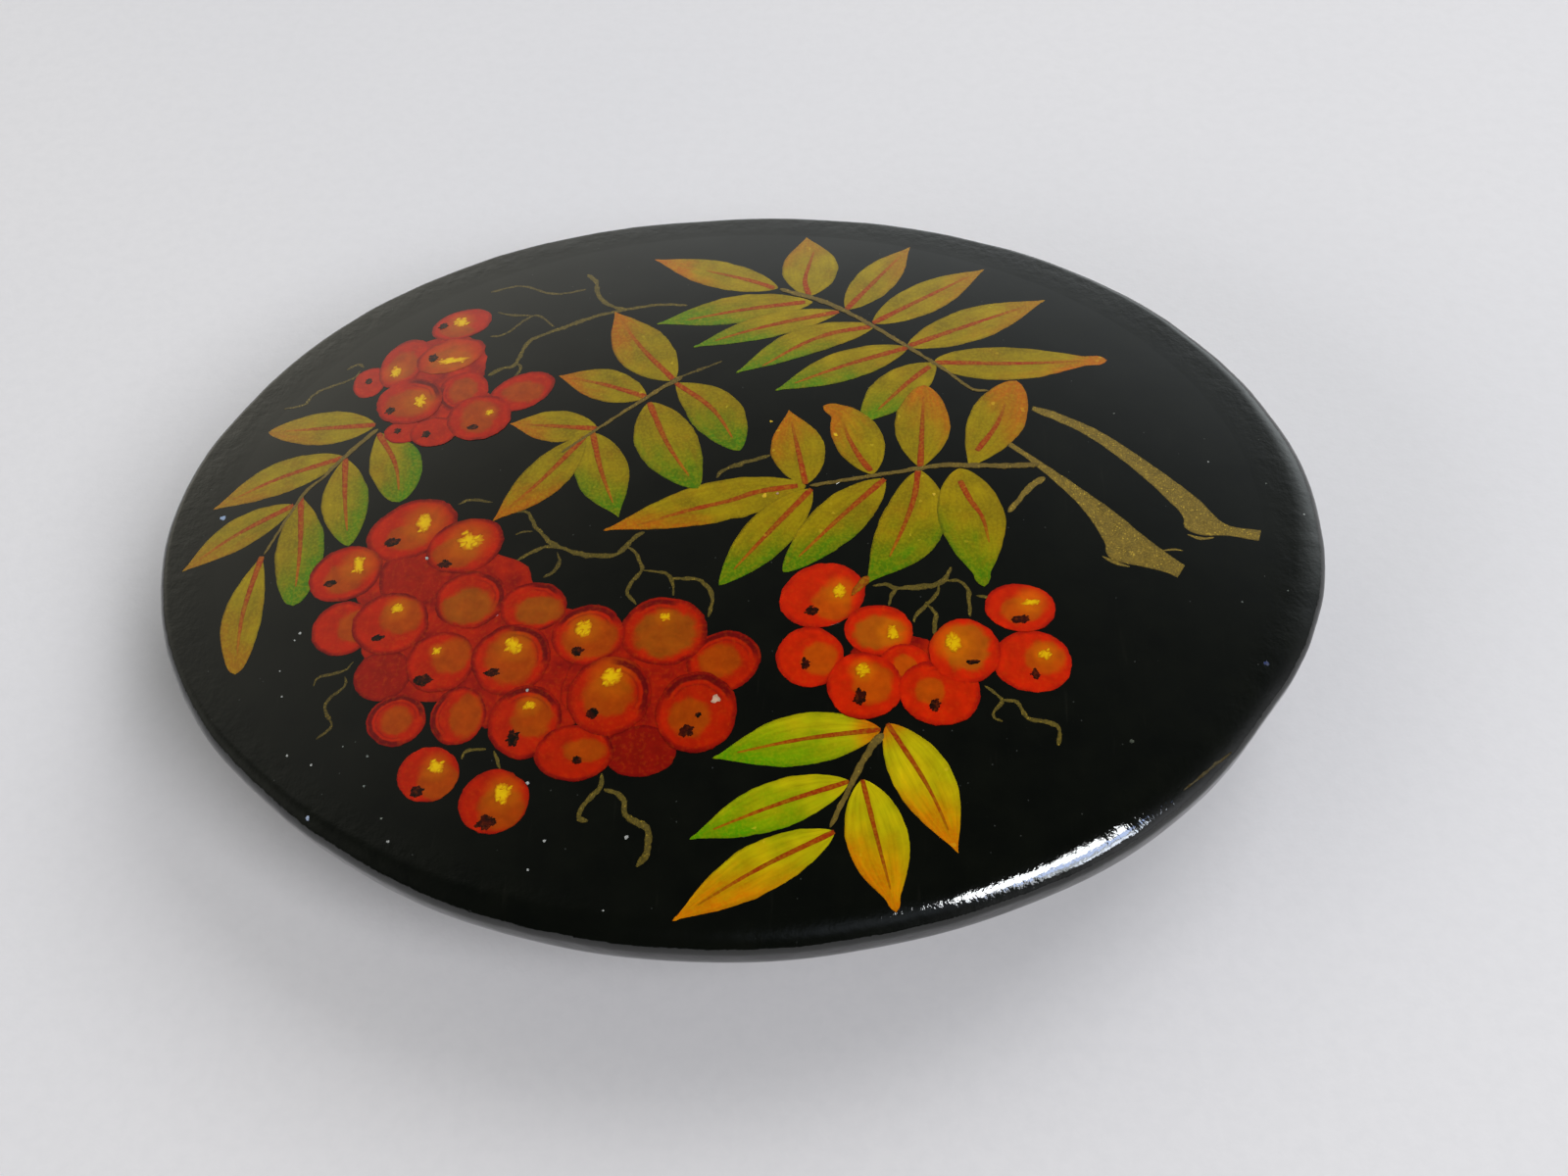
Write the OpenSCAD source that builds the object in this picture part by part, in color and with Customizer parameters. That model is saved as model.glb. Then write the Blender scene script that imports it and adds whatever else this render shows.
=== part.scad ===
// Oval lacquer-miniature brooch: a papier-mache plaque with a bar pin, a sprung needle and a turning safety catch.
// Millimetres. The painted face is up (+Z), the long axis is X, and Z = 0 is the surface that the pin fittings stand on.

/* [Plaque] */
// Length of the oval along X
plaque_length = 60; // [50:0.5:70]
// Width of the oval along Y
plaque_width = 46; // [38:0.5:54]
// Height of the edge, from the flat back to where the face starts to curve
plaque_edge = 2.6; // [2:0.1:4]
// How far the middle of the face stands above the edge
plaque_crown = 1.5; // [0.8:0.1:2.5]
// Radius that rounds the face into the edge
face_round = 1.1; // [0.6:0.1:1.5]
// Radius that rounds the edge into the back
back_round = 0.7; // [0.3:0.1:0.9]

/* [Bar pin] */
// Length of the bar
bar_length = 38; // [32:0.5:42]
// Width of the bar
bar_width = 5; // [4.4:0.1:6]
// Thickness of the bar
bar_thick = 0.6; // [0.5:0.1:0.8]
// Thickness of the glue under the bar
glue_thick = 0.2; // [0.1:0.05:0.3]
// How far glue is squeezed out past the bar
glue_margin = 0.3; // [0.1:0.1:0.6]
// Distance of each screw from the middle of the bar
screw_offset = 9; // [6:0.5:11]
// Diameter of the screw shanks
screw_shank = 1.3; // [1:0.1:1.4]
// Depth of the screws in the plaque
screw_bite = 2; // [1.2:0.1:2.2]

/* [Needle] */
// Distance from the hinge rivet to the middle of the catch
needle_span = 31; // [26:0.5:32]
// Diameter of the needle
needle_d = 0.9; // [0.7:0.05:0.95]
// Length of the ground point
point_length = 7; // [4:0.5:9]
// Width of the rolled eye
eye_width = 1.4; // [1:0.1:1.8]
// Diameter of the rivet through the eye
rivet_d = 1.2; // [0.9:0.1:1.4]

/* [Catch] */
// Outer radius of the catch housing, which is also the needle's height above the table
catch_r = 2; // [1.9:0.05:2.4]
// Wall of the catch housing
catch_wall = 0.5; // [0.4:0.05:0.5]
// Length of the catch housing
catch_length = 2.6; // [2:0.1:3.2]
// Width of the mouth that lets the needle in
catch_mouth = 1.2; // [1.1:0.05:1.3]
// Reach of the thumb lever from the needle
lever_reach = 3.3; // [3:0.1:3.8]

/* [Hidden] */

foot_thick = 0.4;                          // base plates of the bracket and of the catch housing
needle_z = catch_r;                        // axis of the needle, the rivet and the catch
foot_z = needle_z + catch_r - 0.1;         // the drum sinks 0.1 into its base plate
bar_z = foot_z + foot_thick;               // outer face of the bar
glue_z = bar_z + bar_thick;
back_z = glue_z + glue_thick;              // flat back of the plaque

hinge_x = -needle_span / 2;
catch_x = needle_span / 2;

half_length = plaque_length / 2;
flat_r = half_length - face_round;         // where the crown meets the rounded edge
crown_r = (flat_r * flat_r + plaque_crown * plaque_crown) / (2 * plaque_crown);

pilot_r = screw_shank / 2;
screw_hole_r = pilot_r + 0.15;
glue_plug_r = 1;                           // middle hole of the bar, filled with glue
head_r = 1.2;
head_h = 0.5;

ear_thick = 0.5;
ear_gap = 0.05;                            // on each side of the eye
ear_y = eye_width / 2 + ear_gap;           // inner face of an ear
eye_r = 1.3;
eye_clearance = 0.03;
rivet_head_r = 1.05;
rivet_head_h = 0.35;

roller_clearance = 0.04;
roller_r = catch_r - catch_wall - roller_clearance;
flange_r = catch_r - 0.15;
flange_thick = 0.45;
flange_gap = 0.1;
slot_w = catch_mouth - 0.1;
lever_w = 1;
lever_tip_r = 0.8;
lever_drop = 10;                           // degrees below level while the catch is open

steel = "silver";
nickel = "lightgray";
brass = "goldenrod";

// A bar outline with round ends, drawn flat.
module stadium(length, width) {
    square([length - width, width], center = true);
    for (side = [-1, 1])
        translate([side * (length - width) / 2, 0]) circle(d = width, $fn = 64);
}

// Half of the plaque's cross-section. It runs 0.5 past the back, and the back is cut flat afterwards.
module plaque_half_section() {
    top = plaque_edge;
    intersection() {
        translate([0, top + plaque_crown - crown_r]) circle(r = crown_r, $fn = 1440);
        union() {
            translate([0, -0.5]) square([flat_r, top + plaque_crown + 1]);
            translate([0, back_round]) square([half_length, top - back_round - face_round]);
            translate([flat_r, top - face_round]) circle(r = face_round, $fn = 24);
            translate([half_length - back_round, back_round]) circle(r = back_round, $fn = 24);
            square([half_length - back_round, top / 2]);
        }
        translate([0, -0.5]) square([half_length + 1, top + plaque_crown + 1]);
    }
}

module plaque() {
    color("#101310")
    difference() {
        for (quarter = [0:3])
            translate([0, 0, back_z])
                scale([1, plaque_width / plaque_length, 1])
                    rotate([0, 0, 90 * quarter])
                        rotate_extrude(angle = 90, $fn = 120) plaque_half_section();
        translate([-plaque_length, -plaque_width, back_z - 5])
            cube([2 * plaque_length, 2 * plaque_width, 5]);
        for (side = [-1, 1])
            translate([side * screw_offset, 0, back_z - 0.1])
                cylinder(r = pilot_r, h = screw_bite + 0.3, $fn = 32);
    }
}

module glue_bed() {
    color("#d9c79a")
    difference() {
        union() {
            translate([0, 0, glue_z])
                linear_extrude(glue_thick) stadium(bar_length + 2 * glue_margin, bar_width + 2 * glue_margin);
            translate([0, 0, bar_z - 0.15]) cylinder(r = glue_plug_r - 0.01, h = bar_thick + 0.25, $fn = 32);
        }
        for (side = [-1, 1])
            translate([side * screw_offset, 0, glue_z - 0.1]) cylinder(r = screw_hole_r, h = 0.5, $fn = 32);
    }
}

module base_bar() {
    color(nickel)
    difference() {
        translate([0, 0, bar_z]) linear_extrude(bar_thick) stadium(bar_length, bar_width);
        for (side = [-1, 1])
            translate([side * screw_offset, 0, bar_z - 0.1])
                cylinder(r = screw_hole_r, h = bar_thick + 0.2, $fn = 32);
        translate([0, 0, bar_z - 0.1]) cylinder(r = glue_plug_r, h = bar_thick + 0.2, $fn = 32);
    }
}

// A slotted round-head screw whose head bears on the bar from below.
module bar_screw(x) {
    tip_z = back_z + screw_bite;
    color(steel)
    translate([x, 0, 0])
    difference() {
        union() {
            translate([0, 0, bar_z - head_h]) cylinder(r1 = head_r * 0.72, r2 = head_r, h = head_h, $fn = 40);
            translate([0, 0, bar_z - 0.05]) cylinder(r = pilot_r - 0.01, h = tip_z - bar_z - 0.55, $fn = 32);
            translate([0, 0, tip_z - 0.6]) cylinder(r1 = pilot_r - 0.01, r2 = 0.2, h = 0.6, $fn = 32);
        }
        translate([0, 0, bar_z - head_h]) cube([3, 0.3, 0.4], center = true);
    }
}

module bar_screw_left() { bar_screw(-screw_offset); }
module bar_screw_right() { bar_screw(screw_offset); }

// One ear of the bracket: round below the rivet and straight up to the base plate.
module ear() {
    rotate([90, 0, 0])
    linear_extrude(ear_thick, center = true)
    difference() {
        union() {
            circle(r = catch_r, $fn = 64);
            translate([-catch_r, 0]) square([2 * catch_r, foot_z - needle_z + 0.1]);
        }
        circle(d = rivet_d, $fn = 48);
    }
}

module hinge_bracket() {
    color(nickel)
    union() {
        for (side = [-1, 1])
            translate([hinge_x, side * (ear_y + ear_thick / 2), needle_z]) ear();
        translate([hinge_x - 2.2, -(ear_y + ear_thick), foot_z])
            cube([5.4, 2 * (ear_y + ear_thick), foot_thick]);
    }
}

module hinge_rivet() {
    shank = 2 * (ear_y + ear_thick);
    color(steel)
    translate([hinge_x, 0, needle_z])
    rotate([90, 0, 0]) {
        cylinder(d = rivet_d, h = shank + 0.02, center = true, $fn = 48);
        for (side = [0, 1])
            mirror([0, 0, side]) translate([0, 0, shank / 2])
                cylinder(r1 = rivet_head_r, r2 = rivet_head_r * 0.6, h = rivet_head_h, $fn = 40);
    }
}

// The needle turns down and away from the plaque about the rivet.
module pin_stem() {
    shank_end = catch_x - hinge_x + catch_length / 2 + 1.8 - point_length;
    color(steel)
    translate([hinge_x, 0, needle_z])
    difference() {
        union() {
            rotate([90, 0, 0]) cylinder(r = eye_r, h = eye_width, center = true, $fn = 64);
            rotate([0, 90, 0]) cylinder(d = needle_d, h = shank_end, $fn = 32);
            translate([shank_end, 0, 0]) rotate([0, 90, 0])
                cylinder(d1 = needle_d, d2 = 0.12, h = point_length, $fn = 32);
        }
        rotate([90, 0, 0])
            cylinder(r = rivet_d / 2 + eye_clearance, h = eye_width + 1, center = true, $fn = 48);
    }
}

// A drum folded from the same strip as its base plate, with its mouth facing down.
module catch_housing() {
    color(nickel)
    difference() {
        union() {
            translate([catch_x, 0, needle_z])
                rotate([0, 90, 0]) cylinder(r = catch_r, h = catch_length, center = true, $fn = 64);
            translate([catch_x - 2.6, -1.3, foot_z]) cube([4.2, 2.6, foot_thick]);
        }
        translate([catch_x, 0, needle_z])
            rotate([0, 90, 0]) cylinder(r = catch_r - catch_wall, h = catch_length + 2, center = true, $fn = 64);
        translate([catch_x - catch_length, -catch_mouth / 2, -1])
            cube([2 * catch_length, catch_mouth, needle_z + 1]);
    }
}

// The slotted roller turns about the needle and carries the thumb lever on its outer flange.
module catch_roller() {
    body = catch_length + 2 * flange_gap;
    color(brass)
    translate([catch_x, 0, needle_z])
    difference() {
        rotate([0, 90, 0]) {
            cylinder(r = roller_r, h = body + 2 * flange_thick, center = true, $fn = 64);
            for (side = [-1, 1])
                translate([0, 0, side * (body + flange_thick) / 2])
                    cylinder(r = flange_r, h = flange_thick, center = true, $fn = 64);
            translate([0, 0, body / 2]) rotate([0, 0, 90 - lever_drop]) lever();
        }
        rotate([0, 90, 0]) cylinder(d = slot_w, h = body + 4, center = true, $fn = 32);
        translate([-body, -slot_w / 2, -5]) cube([2 * body, slot_w, 5]);
    }
}

// Drawn along +X and turned into place by the roller.
module lever() {
    linear_extrude(flange_thick) {
        translate([1, -lever_w / 2]) square([lever_reach - 1, lever_w]);
        translate([lever_reach, 0]) circle(r = lever_tip_r, $fn = 40);
    }
}

plaque();
glue_bed();
base_bar();
bar_screw_left();
bar_screw_right();
hinge_bracket();
hinge_rivet();
pin_stem();
catch_housing();
catch_roller();
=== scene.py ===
import math

import bmesh
import bpy
import numpy as np
from mathutils import Matrix, Vector, noise
from mathutils.geometry import tessellate_polygon


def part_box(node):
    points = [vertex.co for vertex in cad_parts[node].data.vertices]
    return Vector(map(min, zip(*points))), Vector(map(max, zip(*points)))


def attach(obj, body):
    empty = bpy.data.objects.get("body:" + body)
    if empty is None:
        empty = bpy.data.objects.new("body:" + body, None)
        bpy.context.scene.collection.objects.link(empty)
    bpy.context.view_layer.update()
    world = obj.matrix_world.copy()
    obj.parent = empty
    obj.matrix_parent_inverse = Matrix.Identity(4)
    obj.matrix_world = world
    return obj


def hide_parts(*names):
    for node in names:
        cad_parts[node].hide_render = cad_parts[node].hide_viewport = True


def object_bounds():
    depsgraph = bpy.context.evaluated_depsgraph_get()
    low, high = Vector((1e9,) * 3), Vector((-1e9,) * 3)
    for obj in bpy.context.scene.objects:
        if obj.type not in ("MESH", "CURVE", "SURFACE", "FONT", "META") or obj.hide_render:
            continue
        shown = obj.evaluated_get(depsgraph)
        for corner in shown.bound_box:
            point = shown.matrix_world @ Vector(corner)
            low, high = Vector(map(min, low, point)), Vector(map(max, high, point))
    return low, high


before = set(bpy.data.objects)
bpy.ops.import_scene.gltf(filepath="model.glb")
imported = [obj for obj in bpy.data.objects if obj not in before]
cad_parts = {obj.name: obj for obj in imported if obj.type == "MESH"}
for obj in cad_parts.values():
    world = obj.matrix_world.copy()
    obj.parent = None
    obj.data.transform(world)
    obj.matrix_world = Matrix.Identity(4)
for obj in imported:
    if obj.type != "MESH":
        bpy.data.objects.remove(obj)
cad_low, cad_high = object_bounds()

# The painting is written in millimetres on the plaque's plan: x along the oval, y towards its top.
MM = 0.001

# ---- the plaque's shape, from its CAD box, in mm
plaque_low, plaque_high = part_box("plaque")
HALF_LENGTH = (plaque_high.x - plaque_low.x) / 2 / MM
HALF_WIDTH = (plaque_high.y - plaque_low.y) / 2 / MM
SQUEEZE = HALF_WIDTH / HALF_LENGTH  # plan distances across the oval are this much shorter
BACK_Z = plaque_low.z / MM
CROWN = 1.5  # the face is domed by this much above the edge
EDGE_Z = plaque_high.z / MM - CROWN
SINK = 0.12  # the lacquer lies this far under the CAD crown, for the paint
TOP_Z = EDGE_Z + CROWN - SINK
DOME_IN = 1.1  # the dome's sphere meets the edge's level this far inside it
CROWN_R = ((HALF_LENGTH - DOME_IN) ** 2 + CROWN ** 2) / (2 * CROWN)
BACK_IN = 0.75  # the side draws in this far to the flat back
ROLL_FOOT = BACK_Z + 1.5  # the roll-over ends here, at the widest outline
SHARP_ROLL = 0.6  # width of the roll-over at the upper left
WIDE_ROLL = 3.0  # its width at the lower right, where hands have worn it
WORN_AT = math.radians(-55)

# The hand-cut outline. Dents: plan angle in degrees, depth in mm, spread in degrees.
DENTS = [(-28, 0.46, 13), (-131, 0.15, 14), (92, 0.62, 26), (157, 0.12, 12)]
RIPPLES = [(0.035, 5, 0.7), (0.02, 11, 2.1), (0.018, 23, 0.4)]  # depth, waves round the oval, phase
BASE_LOSS = 0.035  # what keeps the ripples inside the true oval
CORNER_LOSS = 0.12  # it is this much flatter between its ends and its sides
LOSS_FADES = (14, 28)  # the loss grows from nothing between these two distances


def outline_loss(angle):
    """How far the hand-cut outline lies inside the true oval at a plan angle, in mm."""
    loss = BASE_LOSS + CORNER_LOSS * (1 - math.cos(4 * angle)) / 2
    for centre, depth, spread in DENTS:
        away = (math.degrees(angle) - centre + 180) % 360 - 180
        loss += depth * math.exp(-((away / spread) ** 2))
    return loss + sum(depth * math.sin(waves * angle + phase) for depth, waves, phase in RIPPLES)


def ease(low, high, value):
    """0 below low, 1 above high, and smooth between."""
    share = min(1.0, max(0.0, (value - low) / (high - low)))
    return share * share * (3 - 2 * share)


def crown_z(rho):
    """Height of the domed face at a distance from the middle, measured along the long axis."""
    return TOP_Z - (CROWN_R - math.sqrt(CROWN_R ** 2 - rho ** 2))


def shrink(rho, angle):
    """What the hand-cut outline makes of a distance from the middle."""
    return 1 - outline_loss(angle) / HALF_LENGTH * ease(*LOSS_FADES, rho)


def roll_at(angle):
    """The roll-over at a plan angle: its width, its turn where it leaves the dome, and how far out."""
    worn = (0.5 + 0.5 * math.cos(angle - WORN_AT)) ** 2.5
    width = SHARP_ROLL + (WIDE_ROLL - SHARP_ROLL) * worn
    slope = (HALF_LENGTH - width) / CROWN_R
    turn = math.atan2(EDGE_Z - ROLL_FOOT, slope * width)
    return width, turn, HALF_LENGTH - width * (1 - math.cos(turn))


def surface_z(rho, angle):
    """Height of the lacquered face and of its roll-over."""
    width, turn, start = roll_at(angle)
    if rho <= start:
        return crown_z(rho)
    across = min(1.0, (rho - HALF_LENGTH + width) / width)
    return ROLL_FOOT + (crown_z(start) - ROLL_FOOT) / math.sin(turn) * math.sqrt(1 - across ** 2)


def face_z(x, y):
    """Height of the lacquered surface above a point of the plan."""
    across = y / SQUEEZE
    angle = math.atan2(across, x)
    real = math.hypot(x, across)
    rho = real
    for _ in range(3):
        rho = real / shrink(rho, angle)
    return surface_z(min(rho, HALF_LENGTH - 0.05), angle)


# ---- materials
def srgb(red, green, blue):
    """Linear colour of a screen colour given from 0 to 255."""
    return tuple(
        c / 255 / 12.92 if c < 10 else ((c / 255 + 0.055) / 1.055) ** 2.4
        for c in (red, green, blue)
    )


class Nodes:
    """The node tree of a material or the world: methods add nodes and return an output of theirs."""

    def __init__(self, owner, place, shader):
        owner.use_nodes = True
        self.owner = owner
        self.tree = owner.node_tree
        self.shader = self.tree.nodes[shader]
        self.where = self.add("TexCoord", {}, place)

    def put(self, socket, value):
        """Links a socket to another node's output, or sets it to a value."""
        if isinstance(value, bpy.types.NodeSocket):
            self.tree.links.new(value, socket)
        elif value is not None:
            socket.default_value = (*value, 1.0) if socket.type == "RGBA" else value

    def add(self, kind, inputs, output=0, **options):
        node = self.tree.nodes.new("ShaderNode" + kind)
        for name, value in options.items():
            setattr(node, name, value)
        for socket, value in inputs.items():
            self.put(node.inputs[socket], value)
        return node.outputs[output]

    def set(self, **values):
        """Sets sockets of the shader: Base_Color stands for Base Color."""
        for name, value in values.items():
            self.put(self.shader.inputs[name.replace("_", " ")], value)

    def vector(self, operation, a, b=None, output="Vector"):
        return self.add("VectorMath", {0: a, 1: b}, output, operation=operation)

    def maths(self, operation, a, b=None):
        return self.add("Math", {0: a, 1: b}, operation=operation)

    def noise(self, per_mm, detail=2.0, rough=0.5, vector=None):
        place = vector or self.where
        inputs = {"Vector": place, "Scale": per_mm / MM, "Detail": detail, "Roughness": rough}
        return self.add("TexNoise", inputs, "Fac")

    def cells(self, per_mm, output="Color"):
        """Scattered cells: each has a value of its own (Color), or its distance from a point."""
        return self.add("TexVoronoi", {"Vector": self.where, "Scale": per_mm / MM}, output)

    def ramp(self, value, low, high, to_low=0.0, to_high=1.0):
        inputs = {"Value": value, "From Min": low, "From Max": high, "To Min": to_low, "To Max": to_high}
        return self.add("MapRange", inputs)

    def mix(self, share, a, b):
        return self.add("Mix", {0: share, 6: a, 7: b}, 2, data_type="RGBA")

    def tint(self, colour, pattern, low, high, strength, other):
        """Blends another screen colour in where a pattern lies past low, at full strength at high."""
        return self.mix(self.ramp(pattern, low, high, 0.0, strength), colour, srgb(*other))

    def attribute(self, name, output="Color"):
        return self.add("Attribute", {}, output, attribute_name=name)

    def dome_normal(self):
        """The dome's direction at each point: the paint lies flush under one polished coat."""
        lean = (1 / (CROWN_R * MM), 1 / (SQUEEZE ** 2 * CROWN_R * MM), 0)
        leaning = self.vector("ADD", self.vector("MULTIPLY", self.where, lean), (0, 0, 1))
        return self.vector("NORMALIZE", leaning)

    def near_edge(self):
        """1 on the rounded edge of the oval and 0 on its face."""
        circle = self.vector("MULTIPLY", self.where, (1, 1 / SQUEEZE, 0))
        out = self.vector("LENGTH", circle, output="Value")
        return self.ramp(out, *[(HALF_LENGTH - inside) * MM for inside in KNOCKED])

    def bump(self, *layers, start=None):
        """Each layer is a height from 0 to 1 and its depth in mm. Returns the normal."""
        normal = start
        for height, depth in layers:
            normal = self.add("Bump", {"Distance": depth * MM, "Height": height, "Normal": normal})
        self.set(Normal=normal)
        return normal


def material(name):
    return Nodes(bpy.data.materials.new(name), "Object", "Principled BSDF")


LACQUER_IOR = 1.52
KNOCKED = (3.2, 1.6)  # knocks on the edge fade in between these distances from the outline


def under_lacquer(n, painted=True):
    """The clear top coat over black and paint alike, with soft waves and fine grain."""
    waves = n.noise(0.28, detail=1.0)
    grain = n.noise(2.6)
    haze = n.noise(0.5, detail=3.0, rough=0.6)
    polish = [(waves, 0.012), (grain, 0.0006)]
    if painted:
        coat_normal = n.bump(*polish, start=n.dome_normal())
    else:
        knocks = n.maths("MULTIPLY", n.noise(1.1, detail=4.0, rough=0.65), n.near_edge())
        coat_normal = n.bump(*polish, (knocks, 0.03))
    n.set(Coat_Normal=coat_normal, Coat_Weight=1.0, Coat_Roughness=0.05, Coat_IOR=LACQUER_IOR)
    n.set(Specular_IOR_Level=0.0, Roughness=n.ramp(haze, 0.35, 0.7, 0.42, 0.6))
    return haze


def black_lacquer():
    n = material("black_lacquer")
    haze = under_lacquer(n, painted=False)
    tone = n.mix(n.ramp(haze, 0.3, 0.7), srgb(8, 10, 7), srgb(13, 15, 10))
    stretched = n.vector("MULTIPLY", n.where, (5.0, 0.35, 1.0))
    scratches = n.noise(0.9, detail=3.0, vector=stretched)
    tone = n.tint(tone, scratches, 0.66, 0.78, 0.25, (34, 34, 28))
    dust = n.cells(1.1, "Distance")
    tone = n.tint(tone, dust, 0.05, 0.02, 0.5, (80, 84, 80))
    n.set(Base_Color=tone)
    return n.owner


def leaf_paint():
    """Egg-tempera leaf colours with the brush's streaks along the leaf and fine pigment grain."""
    n = material("leaf_paint")
    under_lacquer(n)
    along_leaf = n.vector("MULTIPLY", n.attribute("stroke", "Vector"), (0.5 * MM, 4.5 * MM, MM))
    streaks = n.noise(1.0, detail=3.0, vector=along_leaf)
    colour = n.tint(n.attribute("paint"), streaks, 0.38, 0.7, 0.34, (108, 88, 2))
    patches = n.noise(1.0, detail=3.0, rough=0.6)
    colour = n.tint(colour, patches, 0.5, 0.75, 0.2, (170, 96, 2))
    grain = n.noise(7.0)
    colour = n.tint(colour, grain, 0.42, 0.66, 0.2, (196, 176, 14))
    flakes = n.cells(6.5)
    colour = n.tint(colour, flakes, 0.93, 0.97, 0.35, (230, 200, 44))
    n.set(Base_Color=colour)
    return n.owner


def berry_paint():
    n = material("berry_paint")
    under_lacquer(n)
    patches = n.noise(1.7, detail=3.0, rough=0.6)
    colour = n.tint(n.attribute("paint"), patches, 0.4, 0.72, 0.2, (150, 22, 1))
    grain = n.noise(5.0)
    colour = n.tint(colour, grain, 0.5, 0.75, 0.14, (214, 90, 5))
    n.set(Base_Color=colour)
    return n.owner


def gold_paint():
    """Bronze powder in a brown glaze: bright flakes stand out of it."""
    n = material("gold_paint")
    under_lacquer(n)
    share = n.attribute("gold", "Fac")
    clouds = n.noise(2.2, detail=4.0, rough=0.65)
    colour = n.tint(n.attribute("paint"), clouds, 0.35, 0.7, 0.55, (92, 80, 42))
    powder = n.noise(12.0, detail=3.0, rough=0.65)
    fine = n.maths("MULTIPLY", n.ramp(powder, 0.45, 0.68, 0.0, 0.6), share)
    colour = n.mix(fine, colour, srgb(176, 146, 52))
    flakes = n.maths("MULTIPLY", n.ramp(n.cells(17.0), 0.82, 0.92, 0.0, 0.6), share)
    colour = n.mix(flakes, colour, srgb(226, 192, 66))
    n.set(Base_Color=colour, Metallic=n.maths("MULTIPLY", fine, 0.6))
    return n.owner


# Dust and flecks, and painted glints: small highlights of light painted on the lacquer.
def speck_and_glint_paint():
    n = material("dust_and_glint_marks")
    under_lacquer(n)
    n.set(Base_Color=n.tint(n.attribute("paint"), n.noise(5.0), 0.3, 0.7, 0.4, (120, 118, 100)))
    return n.owner


def metal(name, colour, dull, streaks, roughness, grain_axis, wear):
    """Small stamped or turned metal: drawn grain along one axis, clouded plating and fine pits."""
    n = material(name)
    clouds = n.noise(0.6, detail=4.0, rough=0.65)
    grain = n.noise(7.0, detail=3.0, vector=n.vector("MULTIPLY", n.where, grain_axis))
    pits = n.cells(3.5, "Distance")
    base = n.tint(srgb(*colour), clouds, 0.38, 0.68, wear, dull)
    base = n.tint(base, grain, 0.45, 0.75, 0.35, streaks)
    base = n.tint(base, pits, 0.1, 0.03, 0.5, dull)
    cloudy = n.ramp(clouds, 0.35, 0.7, roughness * 0.75, roughness * 1.35)
    rough = n.maths("ADD", cloudy, n.ramp(grain, 0.3, 0.8, 0.0, 0.1))
    n.set(Base_Color=base, Metallic=1.0, Roughness=rough)
    n.bump((grain, 0.0025), (clouds, 0.006), (n.ramp(pits, 0.0, 0.12), 0.004))
    return n.owner


def epoxy():
    n = material("epoxy")
    clouds = n.noise(0.8, detail=3.0)
    bubbles = n.cells(2.2, "Distance")
    base = n.mix(n.ramp(clouds, 0.35, 0.7), srgb(196, 164, 96), srgb(150, 116, 58))
    base = n.tint(base, bubbles, 0.16, 0.06, 0.6, (226, 206, 156))
    n.set(Base_Color=base, Roughness=n.ramp(clouds, 0.3, 0.7, 0.14, 0.3), IOR=1.55)
    n.set(Subsurface_Weight=0.15, Subsurface_Radius=(0.0006, 0.0004, 0.0002))
    n.bump((clouds, 0.05), (n.ramp(bubbles, 0.04, 0.2), 0.02))
    return n.owner


# ---- the lacquered plaque
ROUND = 900  # points round the oval
RIM_RIPPLES = [(0.035, 0.45), (0.018, 1.1), (0.006, 2.6)]  # the edge's unevenness: depth, waves in a mm
RIM_LOSS = 0.02  # keeps the uneven edge inside the true one
PILOT_RADIUS = 0.65 * MM  # the screws' holes in the flat back
PILOT_SIDES = 32


def plaque_profile(angle):
    """The section at a plan angle, from the middle of the face round to the flat back: (rho, z)."""
    width, turn, start = roll_at(angle)
    points = [(start * share, crown_z(start * share)) for share in np.linspace(0.02, 0.992, 44)]
    for a in np.linspace(turn, 0, 24):
        rho = HALF_LENGTH - width + width * math.cos(a)
        points.append((rho, surface_z(rho, angle)))
    for a in np.radians(np.linspace(4, 90, 15)):
        drop = (ROLL_FOOT - BACK_Z) * math.sin(a) ** 0.8
        inward = BACK_IN * (1 - max(0.0, math.cos(a)) ** 0.8)
        points.append((HALF_LENGTH - inward, ROLL_FOOT - drop))
    points += [(HALF_LENGTH - BACK_IN - inset, BACK_Z) for inset in (0.4, 2.5)]
    return points


def rim_ripple(angle, rho, z):
    """Hand polishing leaves the rounded edge slightly uneven: how far out of true it is, in mm."""
    rim = ease(HALF_LENGTH - 4, HALF_LENGTH - 1.5, rho) * ease(BACK_Z + 0.2, BACK_Z + 1.2, z)
    p = Vector((math.cos(angle) * HALF_LENGTH, math.sin(angle) * HALF_WIDTH, z))
    return rim * (sum(depth * noise.noise(p * waves) for depth, waves in RIM_RIPPLES) - RIM_LOSS)


def plaque_mesh():
    mesh = bmesh.new()
    columns = []
    for k in range(ROUND):
        angle = 2 * math.pi * k / ROUND
        column = []
        for rho, z in plaque_profile(angle):
            out = rho * shrink(rho, angle) + rim_ripple(angle, rho, z)
            x, y = out * math.cos(angle), out * math.sin(angle) * SQUEEZE
            column.append(mesh.verts.new((x * MM, y * MM, z * MM)))
        columns.append(column)
    rings = list(zip(*columns))
    middle = mesh.verts.new((0, 0, TOP_Z * MM))
    for k in range(ROUND):
        mesh.faces.new((middle, rings[0][k], rings[0][(k + 1) % ROUND]))
    for upper, lower in zip(rings, rings[1:]):
        for k in range(ROUND):
            j = (k + 1) % ROUND
            mesh.faces.new((upper[k], lower[k], lower[j], upper[j]))
    for face in mesh.faces:
        face.smooth = True
    close_back(mesh, list(rings[-1]))
    return finished(mesh, "lacquer_plaque")


def finished(mesh, name):
    """The mesh data that a piece is made of."""
    data = bpy.data.meshes.new(name)
    mesh.normal_update()
    mesh.to_mesh(data)
    mesh.free()
    return data


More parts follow.
